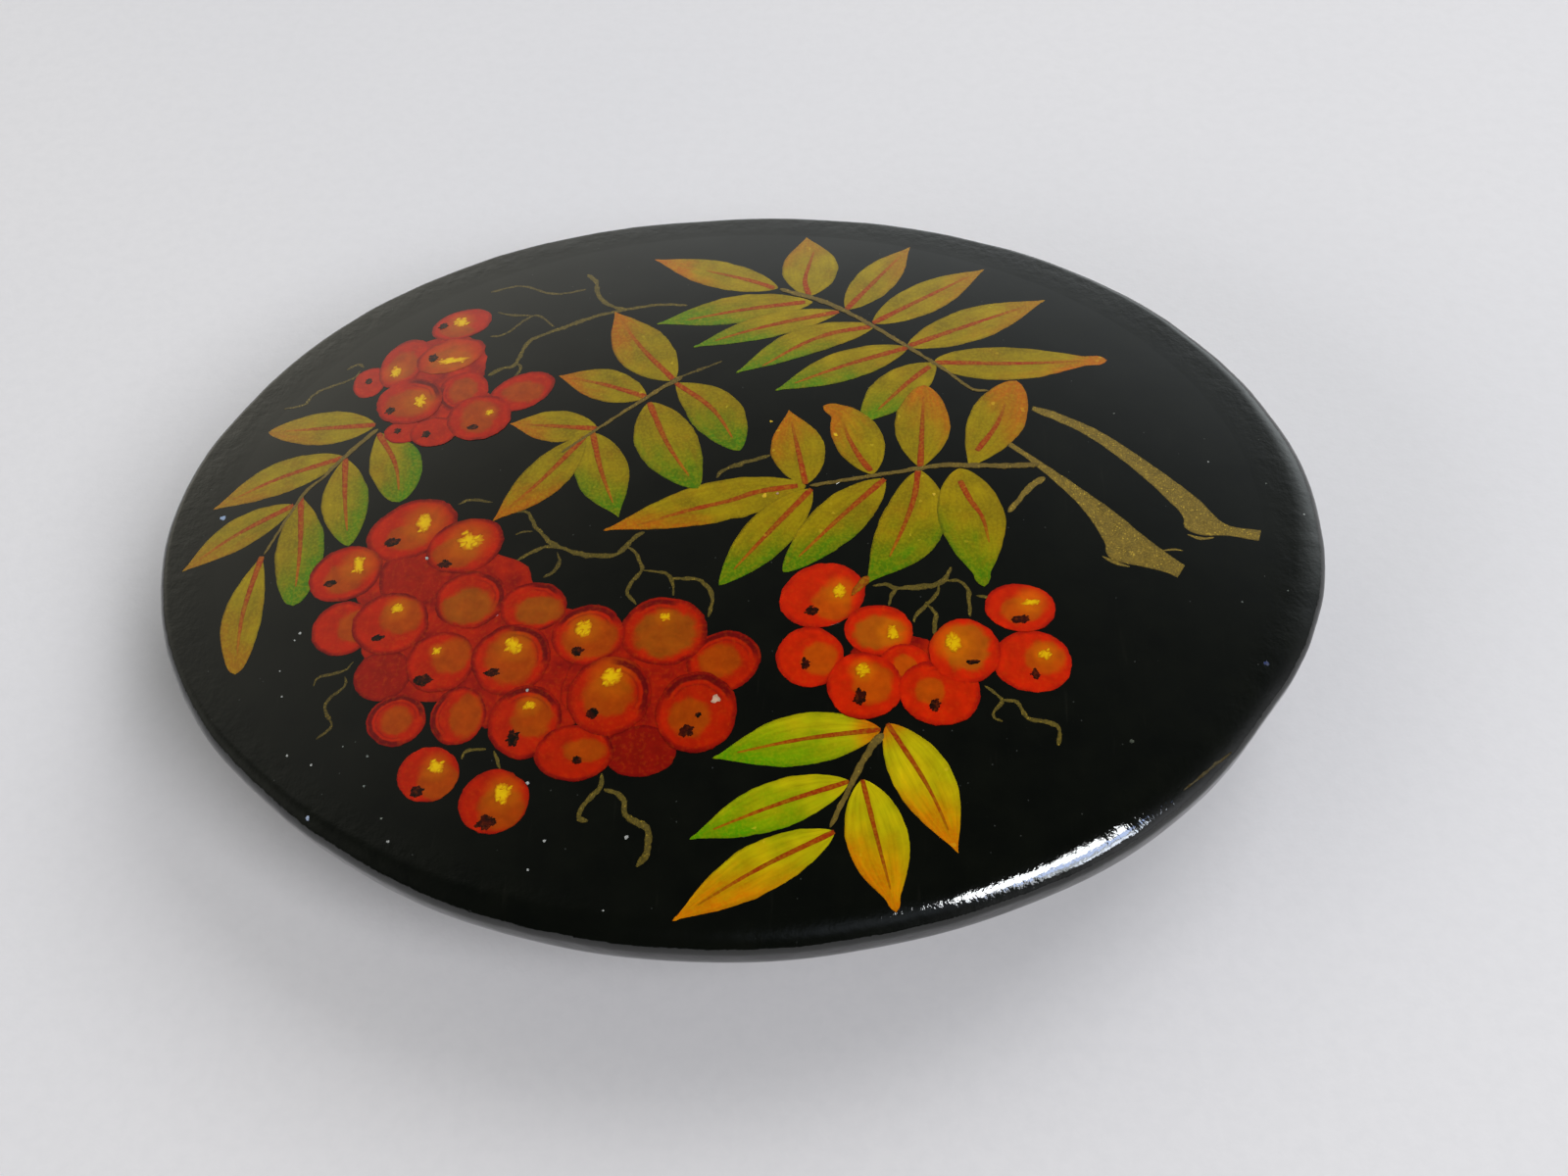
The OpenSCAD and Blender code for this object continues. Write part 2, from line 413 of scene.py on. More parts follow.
def close_back(mesh, rim):
    """The flat back inside the rim, with the two pilot holes that the screws stand in."""
    holes = []
    for name in ("bar_screw_left", "bar_screw_right"):
        low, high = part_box(name)
        centre = (low + high) / 2
        circle = []
        for k in range(PILOT_SIDES):
            a = 2 * math.pi * k / PILOT_SIDES
            circle.append((centre.x + PILOT_RADIUS * math.cos(a), centre.y - PILOT_RADIUS * math.sin(a)))
        depths = (BACK_Z * MM, high.z + 0.05 * MM)
        holes.append([[mesh.verts.new((x, y, z)) for x, y in circle] for z in depths])
    loops = [rim] + [mouth for mouth, _ in holes]
    flat = [v for loop in loops for v in loop]
    for corners in tessellate_polygon([[v.co for v in loop] for loop in loops]):
        face = mesh.faces.new([flat[i] for i in corners])
        face.normal_update()
        if face.normal.z > 0:
            face.normal_flip()
    for mouth, end in holes:
        for k in range(PILOT_SIDES):
            j = (k + 1) % PILOT_SIDES
            mesh.faces.new((mouth[j], mouth[k], end[k], end[j]))
        mesh.faces.new(end)


# ---- paint, laid stroke by stroke
LAYER = 0.002  # each stroke lies this far above what it covers
DEEP = 0.03  # it reaches this far into the lacquer, to be a closed solid
CELL = 0.1  # the paint's thickness so far is kept on a grid this fine
REACH = 0.16  # and a point of a stroke covers the cells this near
thickness = np.zeros((int(2 * HALF_LENGTH / CELL) + 9, int(2 * HALF_WIDTH / CELL) + 9), np.float32)


def cells_near(x, y):
    i0 = int((x - REACH + HALF_LENGTH) / CELL)
    j0 = int((y - REACH + HALF_WIDTH) / CELL)
    i1 = int((x + REACH + HALF_LENGTH) / CELL) + 1
    j1 = int((y + REACH + HALF_WIDTH) / CELL) + 1
    return slice(i0, i1), slice(j0, j1)


def lay(points):
    """How high the next stroke lies over these points; later strokes then lie on it."""
    near = [cells_near(x, y) for x, y in points]
    level = max(float(thickness[n].max()) for n in near) + LAYER
    for n in near:
        thickness[n] = np.maximum(thickness[n], level)
    return level


def wobble(value, size, seed):
    """Smooth noise from -1 to 1 along one length."""
    return noise.noise(Vector((value / size, seed * 3.7, seed * 1.3)))


def mottle(x, y, size, seed=0):
    """Smooth noise from -1 to 1 over the plan."""
    return noise.noise(Vector((x / size, y / size, seed * 2.9)))


def blend_colours(share, a, b):
    return tuple(p + (q - p) * share for p, q in zip(a, b))


def lit(colour, tone):
    """A colour made brighter or darker."""
    return tuple(max(0.0, v * tone) for v in colour)


class Paint:
    """One mesh of thin closed strokes and dabs that follow the domed face."""

    def __init__(self, name):
        self.name = name
        self.mesh = bmesh.new()
        self.colour = self.mesh.verts.layers.float_color.new("paint")
        self.stroke_at = self.mesh.verts.layers.float_vector.new("stroke")
        self.gold = self.mesh.verts.layers.float.new("gold")

    def vertex(self, x, y, lift, colour, at=(0, 0), gold=0.0):
        v = self.mesh.verts.new((x * MM, y * MM, (face_z(x, y) + lift) * MM))
        v[self.colour] = (*colour, 1.0)
        v[self.stroke_at] = (*at, 0)
        v[self.gold] = gold
        return v

    def face(self, *corners, smooth=False):
        self.mesh.faces.new(corners).smooth = smooth

    def ribbon(self, rows, shade, gold):
        """A stroke from rows of plan points across it. shade(i, j, x, y) gives the colour of point j
        of row i, and its place along and across the stroke. gold is the share of bronze flakes."""
        level = lay([p for row in rows for p in row])
        top, low = [], []
        for i, row in enumerate(rows):
            points = [self.vertex(x, y, level, *shade(i, j, x, y), gold) for j, (x, y) in enumerate(row)]
            top.append(points)
        for i, row in enumerate(rows):
            colours = shade(i, 0, *row[0])
            low.append([self.vertex(x, y, -DEEP, *colours, gold) for x, y in (row[0], row[-1])])
        for above, above_next, under, under_next in zip(top, top[1:], low, low[1:]):
            for j in range(len(above) - 1):
                self.face(above[j], above[j + 1], above_next[j + 1], above_next[j], smooth=True)
            self.face(above[0], above_next[0], under_next[0], under[0])
            self.face(above_next[-1], above[-1], under[1], under_next[1])
            self.face(under[0], under_next[0], under_next[1], under[1])
        self.face(*low[0], *reversed(top[0]))
        self.face(*reversed(low[-1]), *top[-1])

    def dab(self, centre, outline, shade, rings):
        """A star-shaped patch: its edge as points round the centre, and shade(x, y, share) its colour."""
        x0, y0 = centre
        shares = [(k + 1) / rings for k in range(rings)]
        plan = [[(x0 + s * dx, y0 + s * dy) for dx, dy in outline] for s in shares]
        level = lay([centre] + [p for ring in plan for p in ring])
        hub = self.vertex(x0, y0, level, shade(x0, y0, 0.0))
        loops = []
        for s, ring in zip(shares, plan):
            loops.append([self.vertex(x, y, level, shade(x, y, s), (x - x0, y - y0)) for x, y in ring])
        under = [self.vertex(x, y, -DEEP, shade(x, y, 1.0)) for x, y in plan[-1]]
        count = len(outline)
        for k in range(count):
            j = (k + 1) % count
            self.face(hub, loops[0][k], loops[0][j], smooth=True)
            for inner, outer in zip(loops, loops[1:]):
                self.face(inner[k], outer[k], outer[j], inner[j], smooth=True)
            self.face(loops[-1][k], under[k], under[j], loops[-1][j])
        self.face(*reversed(under))

    def finish(self, look):
        add_piece(self.name, finished(self.mesh, self.name), look)


def add_piece(name, data, look):
    """Every drawn piece is lacquer or lies under it, so all ride on the brooch."""
    piece = bpy.data.objects.new(name, data)
    bpy.context.scene.collection.objects.link(piece)
    data.materials.append(look)
    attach(piece, "brooch")
    return piece


def curve_through(points, step):
    """Points along a smooth curve through the given ones, about a step apart, ends included."""
    if len(points) == 2:
        points = [points[0], tuple((a + b) / 2 for a, b in zip(*points)), points[1]]
    p = [Vector(q) for q in points]
    p = [2 * p[0] - p[1], *p, 2 * p[-1] - p[-2]]
    out = []
    for a, b, c, d in zip(p, p[1:], p[2:], p[3:]):
        count = max(2, int((c - b).length / step))
        for k in range(count):
            t = k / count
            bend = (2 * a - 5 * b + 4 * c - d) * t * t + (3 * b - a - 3 * c + d) * t ** 3
            out.append(0.5 * (2 * b + (c - a) * t + bend))
    out.append(p[-2])
    return out


def across(line, k):
    """Unit vector to the left of a line's direction at its k-th point."""
    a, b = line[max(0, k - 1)], line[min(len(line) - 1, k + 1)]
    d = (b - a).normalized()
    return Vector((-d.y, d.x))


def along(line):
    """Distance of each point from the line's start, as a share of its length, and the length."""
    sums = [0.0]
    for a, b in zip(line, line[1:]):
        sums.append(sums[-1] + (b - a).length)
    return [s / sums[-1] for s in sums], sums[-1]


def stroke(paint, line, places, reach, shade, half=0.0, gold=0.0):
    """A ribbon along a line. places run across it, from 1 at its left edge to -1 at its right one.
    reach(t, at) gives how far it spreads to either side, at a share t of its length and a distance
    at from its start, and shade(t, s, x, y) gives its colour at a place s. half is half a leaf's
    width, for the brush marks that run along it."""
    share, length = along(line)
    rows = []
    for k, (t, c) in enumerate(zip(share, line)):
        left = across(line, k)
        sides = reach(t, t * length)
        rows.append([tuple(c + left * (s * sides[s <= 0])) for s in places])

    def shade_at(i, j, x, y):
        return shade(share[i], places[j], x, y), (share[i] * length, places[j] * half)

    paint.ribbon(rows, shade_at, gold)


# ---- leaves
YELLOW = srgb(174, 148, 3)
OLIVE = srgb(142, 120, 2)
GREEN = srgb(72, 134, 2)
LIME = srgb(92, 134, 1)
ORANGE = srgb(196, 102, 1)
OCHRE = srgb(172, 114, 2)
RIB = srgb(160, 48, 12)
FLUSH = srgb(206, 56, 1)
FRESH_GREEN = srgb(80, 148, 1)
FRESH_ORANGE = srgb(212, 116, 1)
OLD = (YELLOW, OLIVE)  # the two colours that a leaf's body is mixed of
FRESH = (srgb(206, 186, 8), srgb(160, 164, 6))
COLUMNS = [1 - j / 6 for j in range(13)]  # places across a leaf
RIB_ENDS = 0.86  # the rib ends at this share of a leaf's length


def leaf(paint, line, width, tip, start, body, light, seed, belly=0.45, side=0.22, blunt=0.16,
         point=0.35, flush=0.0, rib_line=None):
    """A leaflet along a line from stem to tip.

    tip is the colour that washes in from the tip and from the lower side, beginning at start and
    skewed by side. belly is where the leaf is widest, blunt how wide its tip ends, point how fast
    it narrows, and flush how far a red blush reaches from the stem.
    """
    centre = curve_through(line, 0.16)
    length = along(centre)[1]
    half = width / 2
    power = math.log(0.5) / math.log(belly)
    lower = 1 if line[-1][0] < line[0][0] else -1

    def reach(t, at):
        swell = max(0.0, math.sin(math.pi * min(1.0, t) ** power))
        round_end = blunt / 2 * math.sqrt(min(1.0, (1 - t) * length / (0.6 * blunt + 0.05)))
        even = max(half * swell ** (0.78 + point * t * t), 0.05 if t < 0.5 else round_end, 0.01)
        return [
            even * (1 + 0.05 * wobble(at, 0.7, seed + s) + 0.02 * wobble(at, 0.22, seed + s))
            for s in (11, 23)
        ]

    def shade(t, s, x, y):
        cloud = mottle(x, y, 1.1, seed)
        fine = mottle(x, y, 0.35, seed + 5)
        colour = blend_colours(0.5 + 0.8 * cloud, *body)
        bristles = mottle(s * half + 0.3 * cloud, 0.15 * t * length, 0.16, seed + 13)
        sideways = side * s * lower * math.sin(math.pi * t)
        wash = ease(start, 1.0, t + sideways + 0.12 * cloud + 0.14 * bristles)
        colour = blend_colours(wash, colour, tip)
        if flush:
            blush = 0.8 * (1 - ease(0.0, flush, t + 0.06 * cloud))
            colour = blend_colours(blush, colour, FLUSH)
        return lit(colour, light * (1 + 0.12 * fine + 0.1 * bristles))

    stroke(paint, centre, COLUMNS, reach, shade, half=half)
    rib = curve_through(rib_line, 0.2) if rib_line else centre[: max(3, int(len(centre) * RIB_ENDS))]
    vein(paint, rib, seed, 0.2 if body is FRESH else 0.29)


def vein(paint, line, seed, width):
    """The brick-red midrib: a single stroke that thins out towards the tip."""
    def reach(t, at):
        uneven = (1 + 0.18 * wobble(at, 0.5, seed + 31)) * ease(-0.12, 0.06, t)
        return [0.5 * (width * (1 - t) ** 0.6 + 0.06) * uneven] * 2

    def shade(t, s, x, y):
        return blend_colours(ease(0.55, 1.0, t) * 0.55 + 0.1 * mottle(x, y, 0.9, 3), RIB, OCHRE)

    stroke(paint, line, (1, 0.33, -0.33, -1), reach, shade)


def leaflet(line, width, tip, **facts):
    """One leaf of a sprig: its line from stem to tip, its width, its tip colour, and what differs."""
    start = 0.26 if tip in (GREEN, LIME) else 0.4
    return {"line": line, "width": width, "tip": tip, "start": start, **facts}


SPRIG_TOP = [
    leaflet([(1.7, 15.7), (-2.2, 17.1), (-5.6, 18.4)], 2.3, ORANGE, start=0.5,
            rib_line=[(1.5, 15.7), (0, 16.4), (-2.5, 17.3)]),
    leaflet([(3.5, 15), (3.4, 17.8), (3.1, 20.3)], 3.2, OCHRE,
            rib_line=[(3.5, 15), (3.2, 16.5), (3.6, 19)]),
    leaflet([(5.6, 13.9), (9.1, 19.4)], 2.3, OCHRE),
    leaflet([(7.1, 12.8), (13.3, 17.5)], 2.4, OCHRE),
    leaflet([(9, 11), (16.6, 15)], 2.5, OCHRE),
    leaflet([(10.4, 9.8), (15, 9.9), (19.7, 10.4)], 2.45, ORANGE, belly=0.38, blunt=0.7, start=0.55),
    leaflet([(3.7, 14.5), (-0.5, 13.9), (-4.9, 12.8)], 2.3, GREEN,
            rib_line=[(3.3, 14.5), (0, 13.9), (-3.2, 13.1)]),
    leaflet([(5.2, 13.7), (1.2, 12.5), (-2.7, 10.9)], 1.9, GREEN),
    leaflet([(7.2, 12.6), (3.4, 11.3), (-0.2, 8.9)], 2.1, GREEN,
            rib_line=[(7, 12.5), (5, 12), (3.3, 11.1), (1.2, 9.4)]),
    leaflet([(9, 10.9), (5.5, 9.4), (2, 7.6)], 2.2, GREEN),
    leaflet([(10.5, 9.7), (8.3, 7.6), (6.4, 5.2)], 2.5, GREEN,
            rib_line=[(10.2, 9.5), (9, 8.2), (7.5, 6.3)]),
]

SPRIG_MIDDLE = [
    leaflet([(3.9, 1.2), (2.8, 6.2)], 2.8, ORANGE, start=0.3),
    leaflet([(7.3, 1.9), (6.5, 4.2), (5.6, 5.9), (4.6, 6.5)], 2.6, ORANGE, start=0.3, belly=0.46,
            blunt=0.9, rib_line=[(7.2, 2.1), (6.6, 3), (6, 4.3), (5.7, 5.3)]),
    leaflet([(9.7, 2.4), (9.9, 8.1)], 2.9, ORANGE, start=0.3, point=-0.2, belly=0.5),
    leaflet([(12.2, 2.5), (13.6, 5.6), (14.8, 8.6)], 2.9, ORANGE, start=0.35, belly=0.55, point=-0.2,
            blunt=0.8, rib_line=[(12.6, 3.6), (13.6, 5.3), (14.2, 7)]),
    leaflet([(3.9, 1.1), (-1.2, -0.1), (-6.2, -1.7)], 2.6, ORANGE, belly=0.42, start=0.5,
            rib_line=[(3.5, 1.1), (1.5, 0.7), (0, 0.1), (-2, -0.5), (-4.5, -1.4)]),
    leaflet([(4.2, 0.9), (2.2, -1.8), (-0.1, -5)], 2.5, GREEN, start=0.3, point=0),
    leaflet([(7.9, 1.6), (5.6, -1), (3, -4.2)], 2.6, GREEN, start=0.35, point=-0.1),
    leaflet([(9.7, 2.2), (9.3, -1.2), (7.1, -4.8)], 3.2, GREEN, start=0.3,
            rib_line=[(9.6, 2.3), (9.4, 0.5), (8.9, -1.3), (8.2, -3.2)]),
    leaflet([(11.7, 2.4), (12.3, -1), (12.8, -4.8)], 3.3, GREEN, start=0.3, blunt=0.8, belly=0.42,
            rib_line=[(11.7, 1.6), (12.2, 0.4), (12.8, -0.7), (13.1, -2.2)]),
]

SPRIG_INNER = [
    leaflet([(-3.5, 8.4), (-5.6, 11), (-7.4, 13.9)], 3, ORANGE),
    leaflet([(-3.4, 8.2), (-1.2, 6.2), (0.4, 3.4)], 2.8, GREEN, blunt=0.4, point=-0.1, belly=0.52),
    leaflet([(-4.9, 7.2), (-7.4, 8.2), (-9.9, 8.9)], 2.3, ORANGE),
    leaflet([(-4.7, 6.8), (-3.4, 3.8), (-1.6, 0.9)], 3.2, GREEN, point=-0.1),
    leaflet([(-7.3, 5), (-12.1, 5.5)], 2.2, ORANGE),
    leaflet([(-7.5, 4.7), (-6.7, 2), (-5.5, -0.9)], 2.8, GREEN),
    leaflet([(-7.9, 4.4), (-9.8, 1.6), (-12, -1)], 2.4, ORANGE),
]

SPRIG_LEFT = [
    leaflet([(-19.6, 5.8), (-25.7, 5.7)], 2.4, OCHRE, point=-0.1),
    leaflet([(-19.3, 5.2), (-17.9, 2.9), (-17.2, 0.4)], 2.8, GREEN, side=-0.5, point=-0.25, belly=0.52),
    leaflet([(-20.9, 3.6), (-24.4, 2.3), (-27.5, 0.5)], 2.3, OCHRE),
    leaflet([(-20.8, 3.5), (-20.2, 0.6), (-19.4, -2.3)], 2.5, LIME, side=-0.5, point=-0.1, belly=0.5),
    leaflet([(-23, 0.5), (-25.8, -1.3), (-28.2, -3.4)], 2.1, OCHRE),
    leaflet([(-22.7, 1), (-22, -2.4), (-21.6, -5.8)], 2.6, GREEN, side=-0.45, point=-0.3, belly=0.52),
    leaflet([(-24, -2.7), (-24.2, -6.2), (-23.8, -9.6)], 2.1, OCHRE, belly=0.54, point=-0.25),
]

SPRIG_BOTTOM = [
    leaflet([(7.9, -12.6), (4.2, -13.2), (0.2, -14.2)], 2.6, FRESH_GREEN, start=0, side=0.3, flush=0.2),
    leaflet([(6.5, -15.2), (3, -16.5), (-0.6, -18.1)], 2.3, FRESH_GREEN, start=0, side=0.3),
    leaflet([(5.9, -17.6), (2.4, -19.5), (-1.1, -21.8)], 2.3, FRESH_ORANGE, start=0.15),
    leaflet([(7.1, -15.1), (7.9, -18.2), (8.7, -21.1)], 2.8, FRESH_ORANGE, start=0.15, blunt=0.6),
    leaflet([(8.2, -12.3), (10.1, -15.4), (11.4, -18.4)], 2.7, FRESH_ORANGE, start=0.3, flush=0.22),
]

# The sprigs in the order they were painted, with their brightness and their body colours: the left
# ones are thinner over the black.
SPRIGS = {
    "sprig_top": (SPRIG_TOP, 0.87, OLD),
    "sprig_middle": (SPRIG_MIDDLE, 0.84, OLD),
    "sprig_inner": (SPRIG_INNER, 0.76, OLD),
    "sprig_left": (SPRIG_LEFT, 0.78, OLD),
    "sprig_bottom": (SPRIG_BOTTOM, 1.04, FRESH),
}

# Stems are drawn over the leaves' bases: their lines and their widths.
STEMS = [
    ([(1.8, 15.6), (5.2, 14), (10.4, 9.8), (12.3, 8), (13.3, 7.8)], 0.3),
    ([(15.7, 2.8), (13, 2.6), (11, 2.6), (8.2, 2), (4.1, 1.1)], 0.32),
    ([(-3.1, 8.7), (-4.6, 7.4), (-9, 3.4)], 0.25),
    ([(-19.4, 5.5), (-20.9, 3.6), (-21.8, 2.2), (-22.6, 1.2), (-23.9, -2.6)], 0.25),
    ([(8, -12.8), (7.2, -14), (5.7, -17.4)], 0.35),
]

# ---- berries
RED = srgb(186, 34, 1)
EDGE_RED = srgb(200, 32, 1)
CRIMSON = srgb(122, 8, 7)
DARK_CRIMSON = srgb(98, 5, 9)
GLOW = srgb(176, 72, 1)
TAN = srgb(164, 82, 6)
SUN = srgb(234, 192, 5)
EMBER = srgb(206, 112, 1)
SOOT = srgb(16, 13, 7)


def ring_of(rx, ry, tilt, ragged, seed, count):
    """Points of a hand-painted oval's edge round its centre."""
    c, s = math.cos(math.radians(tilt)), math.sin(math.radians(tilt))
    points = []
    for k in range(count):
        a = 2 * math.pi * k / count
        spot = Vector((math.cos(a) * 1.4, math.sin(a) * 1.4, seed * 2.3))
        uneven = noise.noise(spot) + 0.6 * noise.noise(spot * 2.7) + 0.5 * noise.noise(spot * 6.1)
        grow = 1 + ragged * uneven
        x, y = rx * grow * math.cos(a), ry * grow * math.sin(a)
        points.append((c * x - s * y, s * x + c * y))
    return points


def arc_shadow(turn, share, start, sweep):
    """How dark the shadow arc is at a turn and a share of the radius: a broad band and a faint one."""
    inside = (turn - start) % 360
    if inside >= sweep:
        return 0.0
    ends = ease(0, 25, inside) * (1 - ease(sweep - 25, sweep, inside))
    band = ease(0.77, 0.82, share) * (1 - ease(0.91, 0.96, share))
    return ends * (band + 0.45 * ease(0.63, 0.67, share) * (1 - ease(0.69, 0.74, share)))


def berry(paint, centre, rx, ry, tilt, tone, rim, seed, glow=None, tan=False, shine=None, eye=None,
          shadow=None, dark=0.0):
    """A berry with red skin. Offsets and radii from its centre give a glowing oval, a shine and the
    eye, which is its dried calyx. shadow is an arc in degrees: its start and its sweep."""
    cx, cy = centre

    def shade(x, y, share):
        colour = blend_colours(share ** 3, RED, EDGE_RED)
        outline = ease(0.84, 0.95, share) * (rim + 0.6 * mottle(x, y, 1.1, seed + 9))
        colour = blend_colours(min(1.0, max(0.0, outline)), colour, CRIMSON)
        rough = 0.5 * mottle(x, y, 0.5, seed) + 0.25 * mottle(x, y, 0.2, seed + 3)
        if glow:
            gx, gy, grx, gry = glow
            away = math.hypot((x - cx - gx) / grx, (y - cy - gy) / gry)
            glowing = 0.95 * (1 - ease(0.82, 1.14, away + 0.3 * rough))
            colour = blend_colours(glowing, colour, TAN if tan else GLOW)
        if shine:
            hx, hy, *radii = shine
            away = math.hypot(x - cx - hx, y - cy - hy) / max(radii)
            colour = blend_colours(0.5 * (1 - ease(0.9, 2.6, away + 0.3 * rough)), colour, EMBER)
        if shadow:
            turn = math.degrees(math.atan2(y - cy, x - cx))
            colour = blend_colours(0.92 * arc_shadow(turn, share, *shadow), colour, DARK_CRIMSON)
        return lit(blend_colours(dark, colour, CRIMSON), tone * (1 + 0.42 * rough))

    paint.dab(centre, ring_of(rx, ry, tilt, 0.045, seed, 64), shade, rings=22)
    if shine:
        hx, hy, hrx, hry = shine
        splash(paint, (cx + hx, cy + hy), hrx * 1.15, hry * 1.15, 40, EMBER, SUN, seed + 41)
    if eye:
        ex, ey, erx, ery = eye
        splash(paint, (cx + ex, cy + ey), erx, ery, 22, SOOT, SOOT, seed + 57)


def splash(paint, centre, rx, ry, tilt, edge, core, seed):
    """A ragged touch of the brush: one main dab and smaller ones that trail off across it."""
    def shade(x, y, share):
        return blend_colours(1 - ease(0.5, 1.0, share + 0.4 * mottle(x, y, 0.12, seed)), edge, core)

    paint.dab(centre, ring_of(rx * 0.9, ry * 0.9, 8, 0.42, seed, 44), shade, rings=3)
    size = min(rx, ry)
    for k in range(4):
        a = math.radians(tilt + 90 * k + 60 * noise.noise(Vector((k, seed, 0.5))))
        out = 0.75 + 0.35 * noise.noise(Vector((seed, k, 1.5)))
        spot = (centre[0] + rx * out * math.cos(a), centre[1] + ry * out * math.sin(a))
        paint.dab(spot, ring_of(size * 0.42, size * 0.2, tilt, 0.5, seed + k, 22), shade, rings=2)


def seen(x, y, rx, ry, tilt=0, **marks):
    """One berry of a cluster: its centre, its radii, its tilt, and what it shows."""
    return {"centre": (x, y), "rx": rx, "ry": ry, "tilt": tilt, **marks}


BERRIES_RIGHT = [
    seen(5, -5.5, 2.15, 1.75, 25, glow=(0.45, -0.45, 0.95, 0.95), shine=(0.8, 0.25, 0.28, 0.4),
         eye=(-0.5, -0.9, 0.3, 0.28)),
    seen(4.5, -8.9, 1.6, 1.6, glow=(0.45, -0.1, 0.85, 0.9), eye=(-0.2, -0.4, 0.2, 0.35)),
    seen(7.7, -7.4, 1.65, 1.4, glow=(0, -0.1, 1.15, 0.95), tan=True, shine=(0.7, -0.1, 0.25, 0.4)),
    seen(9, -9.3, 1.2, 1.2, glow=(0, 0, 0.6, 0.6)),
    seen(7.1, -10.4, 1.75, 1.75, glow=(0.4, 0.1, 0.95, 1), shine=(-0.1, 0.8, 0.3, 0.32),
         eye=(-0.2, -0.6, 0.3, 0.45)),
    seen(10.6, -10.6, 1.9, 1.7, glow=(-0.4, 0, 0.7, 0.7), eye=(-0.2, -0.7, 0.25, 0.35), shadow=(10, 110)),
    seen(15, -8.8, 1.85, 1.65, glow=(0.6, 0.2, 1, 0.9), shine=(0.6, 0.4, 0.3, 0.25),
         eye=(0.1, -0.7, 0.2, 0.3)),
    seen(14.5, -5.9, 1.7, 1.35, glow=(0, -0.2, 0.95, 0.7), shine=(0.5, 0.3, 0.4, 0.15),
         eye=(0, -0.65, 0.45, 0.25)),
    seen(11.8, -8.4, 1.7, 1.7, glow=(0.1, 0.2, 1.1, 1.3), tan=True, shine=(-0.5, 0.4, 0.35, 0.5),
         eye=(0.4, -0.6, 0.35, 0.15)),
]

BERRIES_LEFT = [
    seen(-15.5, -4.2, 1.9, 1.9, dark=0.45),
    seen(-16.2, -9.9, 1.4, 1.4, dark=0.6),
    seen(-18.7, -7.2, 1.6, 1.55, glow=(0.6, 0.1, 0.9, 0.9)),
    seen(-16.2, -1.4, 2.4, 1.8, 25, glow=(-0.1, -0.5, 1.1, 0.8), shine=(0.6, 0.4, 0.35, 0.6),
         eye=(-0.9, -0.75, 0.5, 0.25)),
    seen(-13.2, -2.5, 2, 1.65, 20, glow=(-0.4, -0.4, 1.2, 0.9), shine=(0.1, 0.3, 0.6, 0.5),
         eye=(-0.9, -1.1, 0.35, 0.25)),
    seen(-19.2, -4, 1.9, 1.65, 20, glow=(-0.1, -0.3, 1, 0.9), shine=(0.6, 0.5, 0.3, 0.5),
         eye=(-0.7, -0.55, 0.35, 0.2)),
    seen(-12.4, -5.7, 1.8, 1.65, glow=(-0.1, -0.4, 1.3, 1), tan=True, shadow=(-30, 120)),
    seen(-9.2, -6.2, 1.7, 1.4, glow=(0.3, -0.2, 1.2, 0.8), tan=True, shadow=(20, 90)),
    seen(-16.3, -7, 1.95, 1.75, glow=(0.5, 0.4, 1.1, 1), shine=(0.2, 0.85, 0.35, 0.25),
         eye=(-0.5, -0.8, 0.35, 0.2)),
    seen(-3.2, -13.9, 1.7, 1.3, dark=0.75),
    seen(-12.1, -12.1, 1.35, 1.5, glow=(0.4, 0, 0.8, 1.1), shadow=(110, 140)),
    seen(-15.1, -12.3, 1.45, 1.35, glow=(0, 0, 0.75, 0.75), shadow=(0, 300)),
    seen(-13.4, -9.2, 1.75, 1.65, glow=(0.5, 0.3, 0.95, 1), shine=(-0.3, 0.6, 0.2, 0.2),
         eye=(-0.8, -1, 0.5, 0.3)),
    seen(0.4, -9.2, 1.8, 1.6, 30, glow=(-0.2, 0, 1, 0.9), shadow=(0, 160)),
    seen(-2.6, -7.6, 2.15, 1.9, glow=(0.1, -0.1, 1.5, 1.35), tan=True, shine=(0, 0.8, 0.25, 0.22),
         shadow=(60, 90)),
    seen(-6.3, -7.8, 1.75, 1.65, glow=(0.1, -0.2, 1.35, 1.2), shine=(-0.2, 0.4, 0.4, 0.45),
         eye=(-0.4, -0.9, 0.3, 0.25), shadow=(20, 150)),
    seen(-9.9, -9.1, 1.95, 1.95, glow=(0, 0, 1.3, 1.4), shine=(0, 0.7, 0.4, 0.45),
         eye=(-0.8, -0.75, 0.4, 0.25), shadow=(-20, 130)),
    seen(-8.8, -12.4, 1.75, 1.9, glow=(0.3, 0.2, 1, 1.1), shine=(0.1, 0.8, 0.3, 0.2),
         eye=(-0.5, -0.9, 0.3, 0.45), shadow=(20, 120)),
    seen(-6.3, -14, 1.85, 1.4, glow=(0.5, 0.1, 1, 0.6), eye=(0.2, -0.4, 0.25, 0.2)),
    seen(-4.9, -11.1, 2, 2.05, glow=(-0.1, 0, 1.2, 1.1), shine=(0, 1, 0.55, 0.4),
         eye=(-0.7, -0.9, 0.3, 0.3), shadow=(-40, 140)),
    seen(-0.7, -11.9, 1.9, 2.1, glow=(-0.3, -0.3, 1, 1), eye=(-0.4, -1, 0.35, 0.33), shadow=(15, 150)),
]

BERRIES_SINGLE = [
    seen(-13.1, -15.05, 1.5, 1.35, glow=(0.5, -0.35, 1, 0.9), shine=(0.3, 0.35, 0.35, 0.3),
         eye=(-0.4, -0.85, 0.35, 0.3)),
    seen(-9.8, -16.4, 1.65, 1.55, glow=(0.4, -0.3, 1.1, 1.1), shine=(0.4, 0.4, 0.35, 0.45),
         eye=(-0.2, -1, 0.5, 0.35)),
]

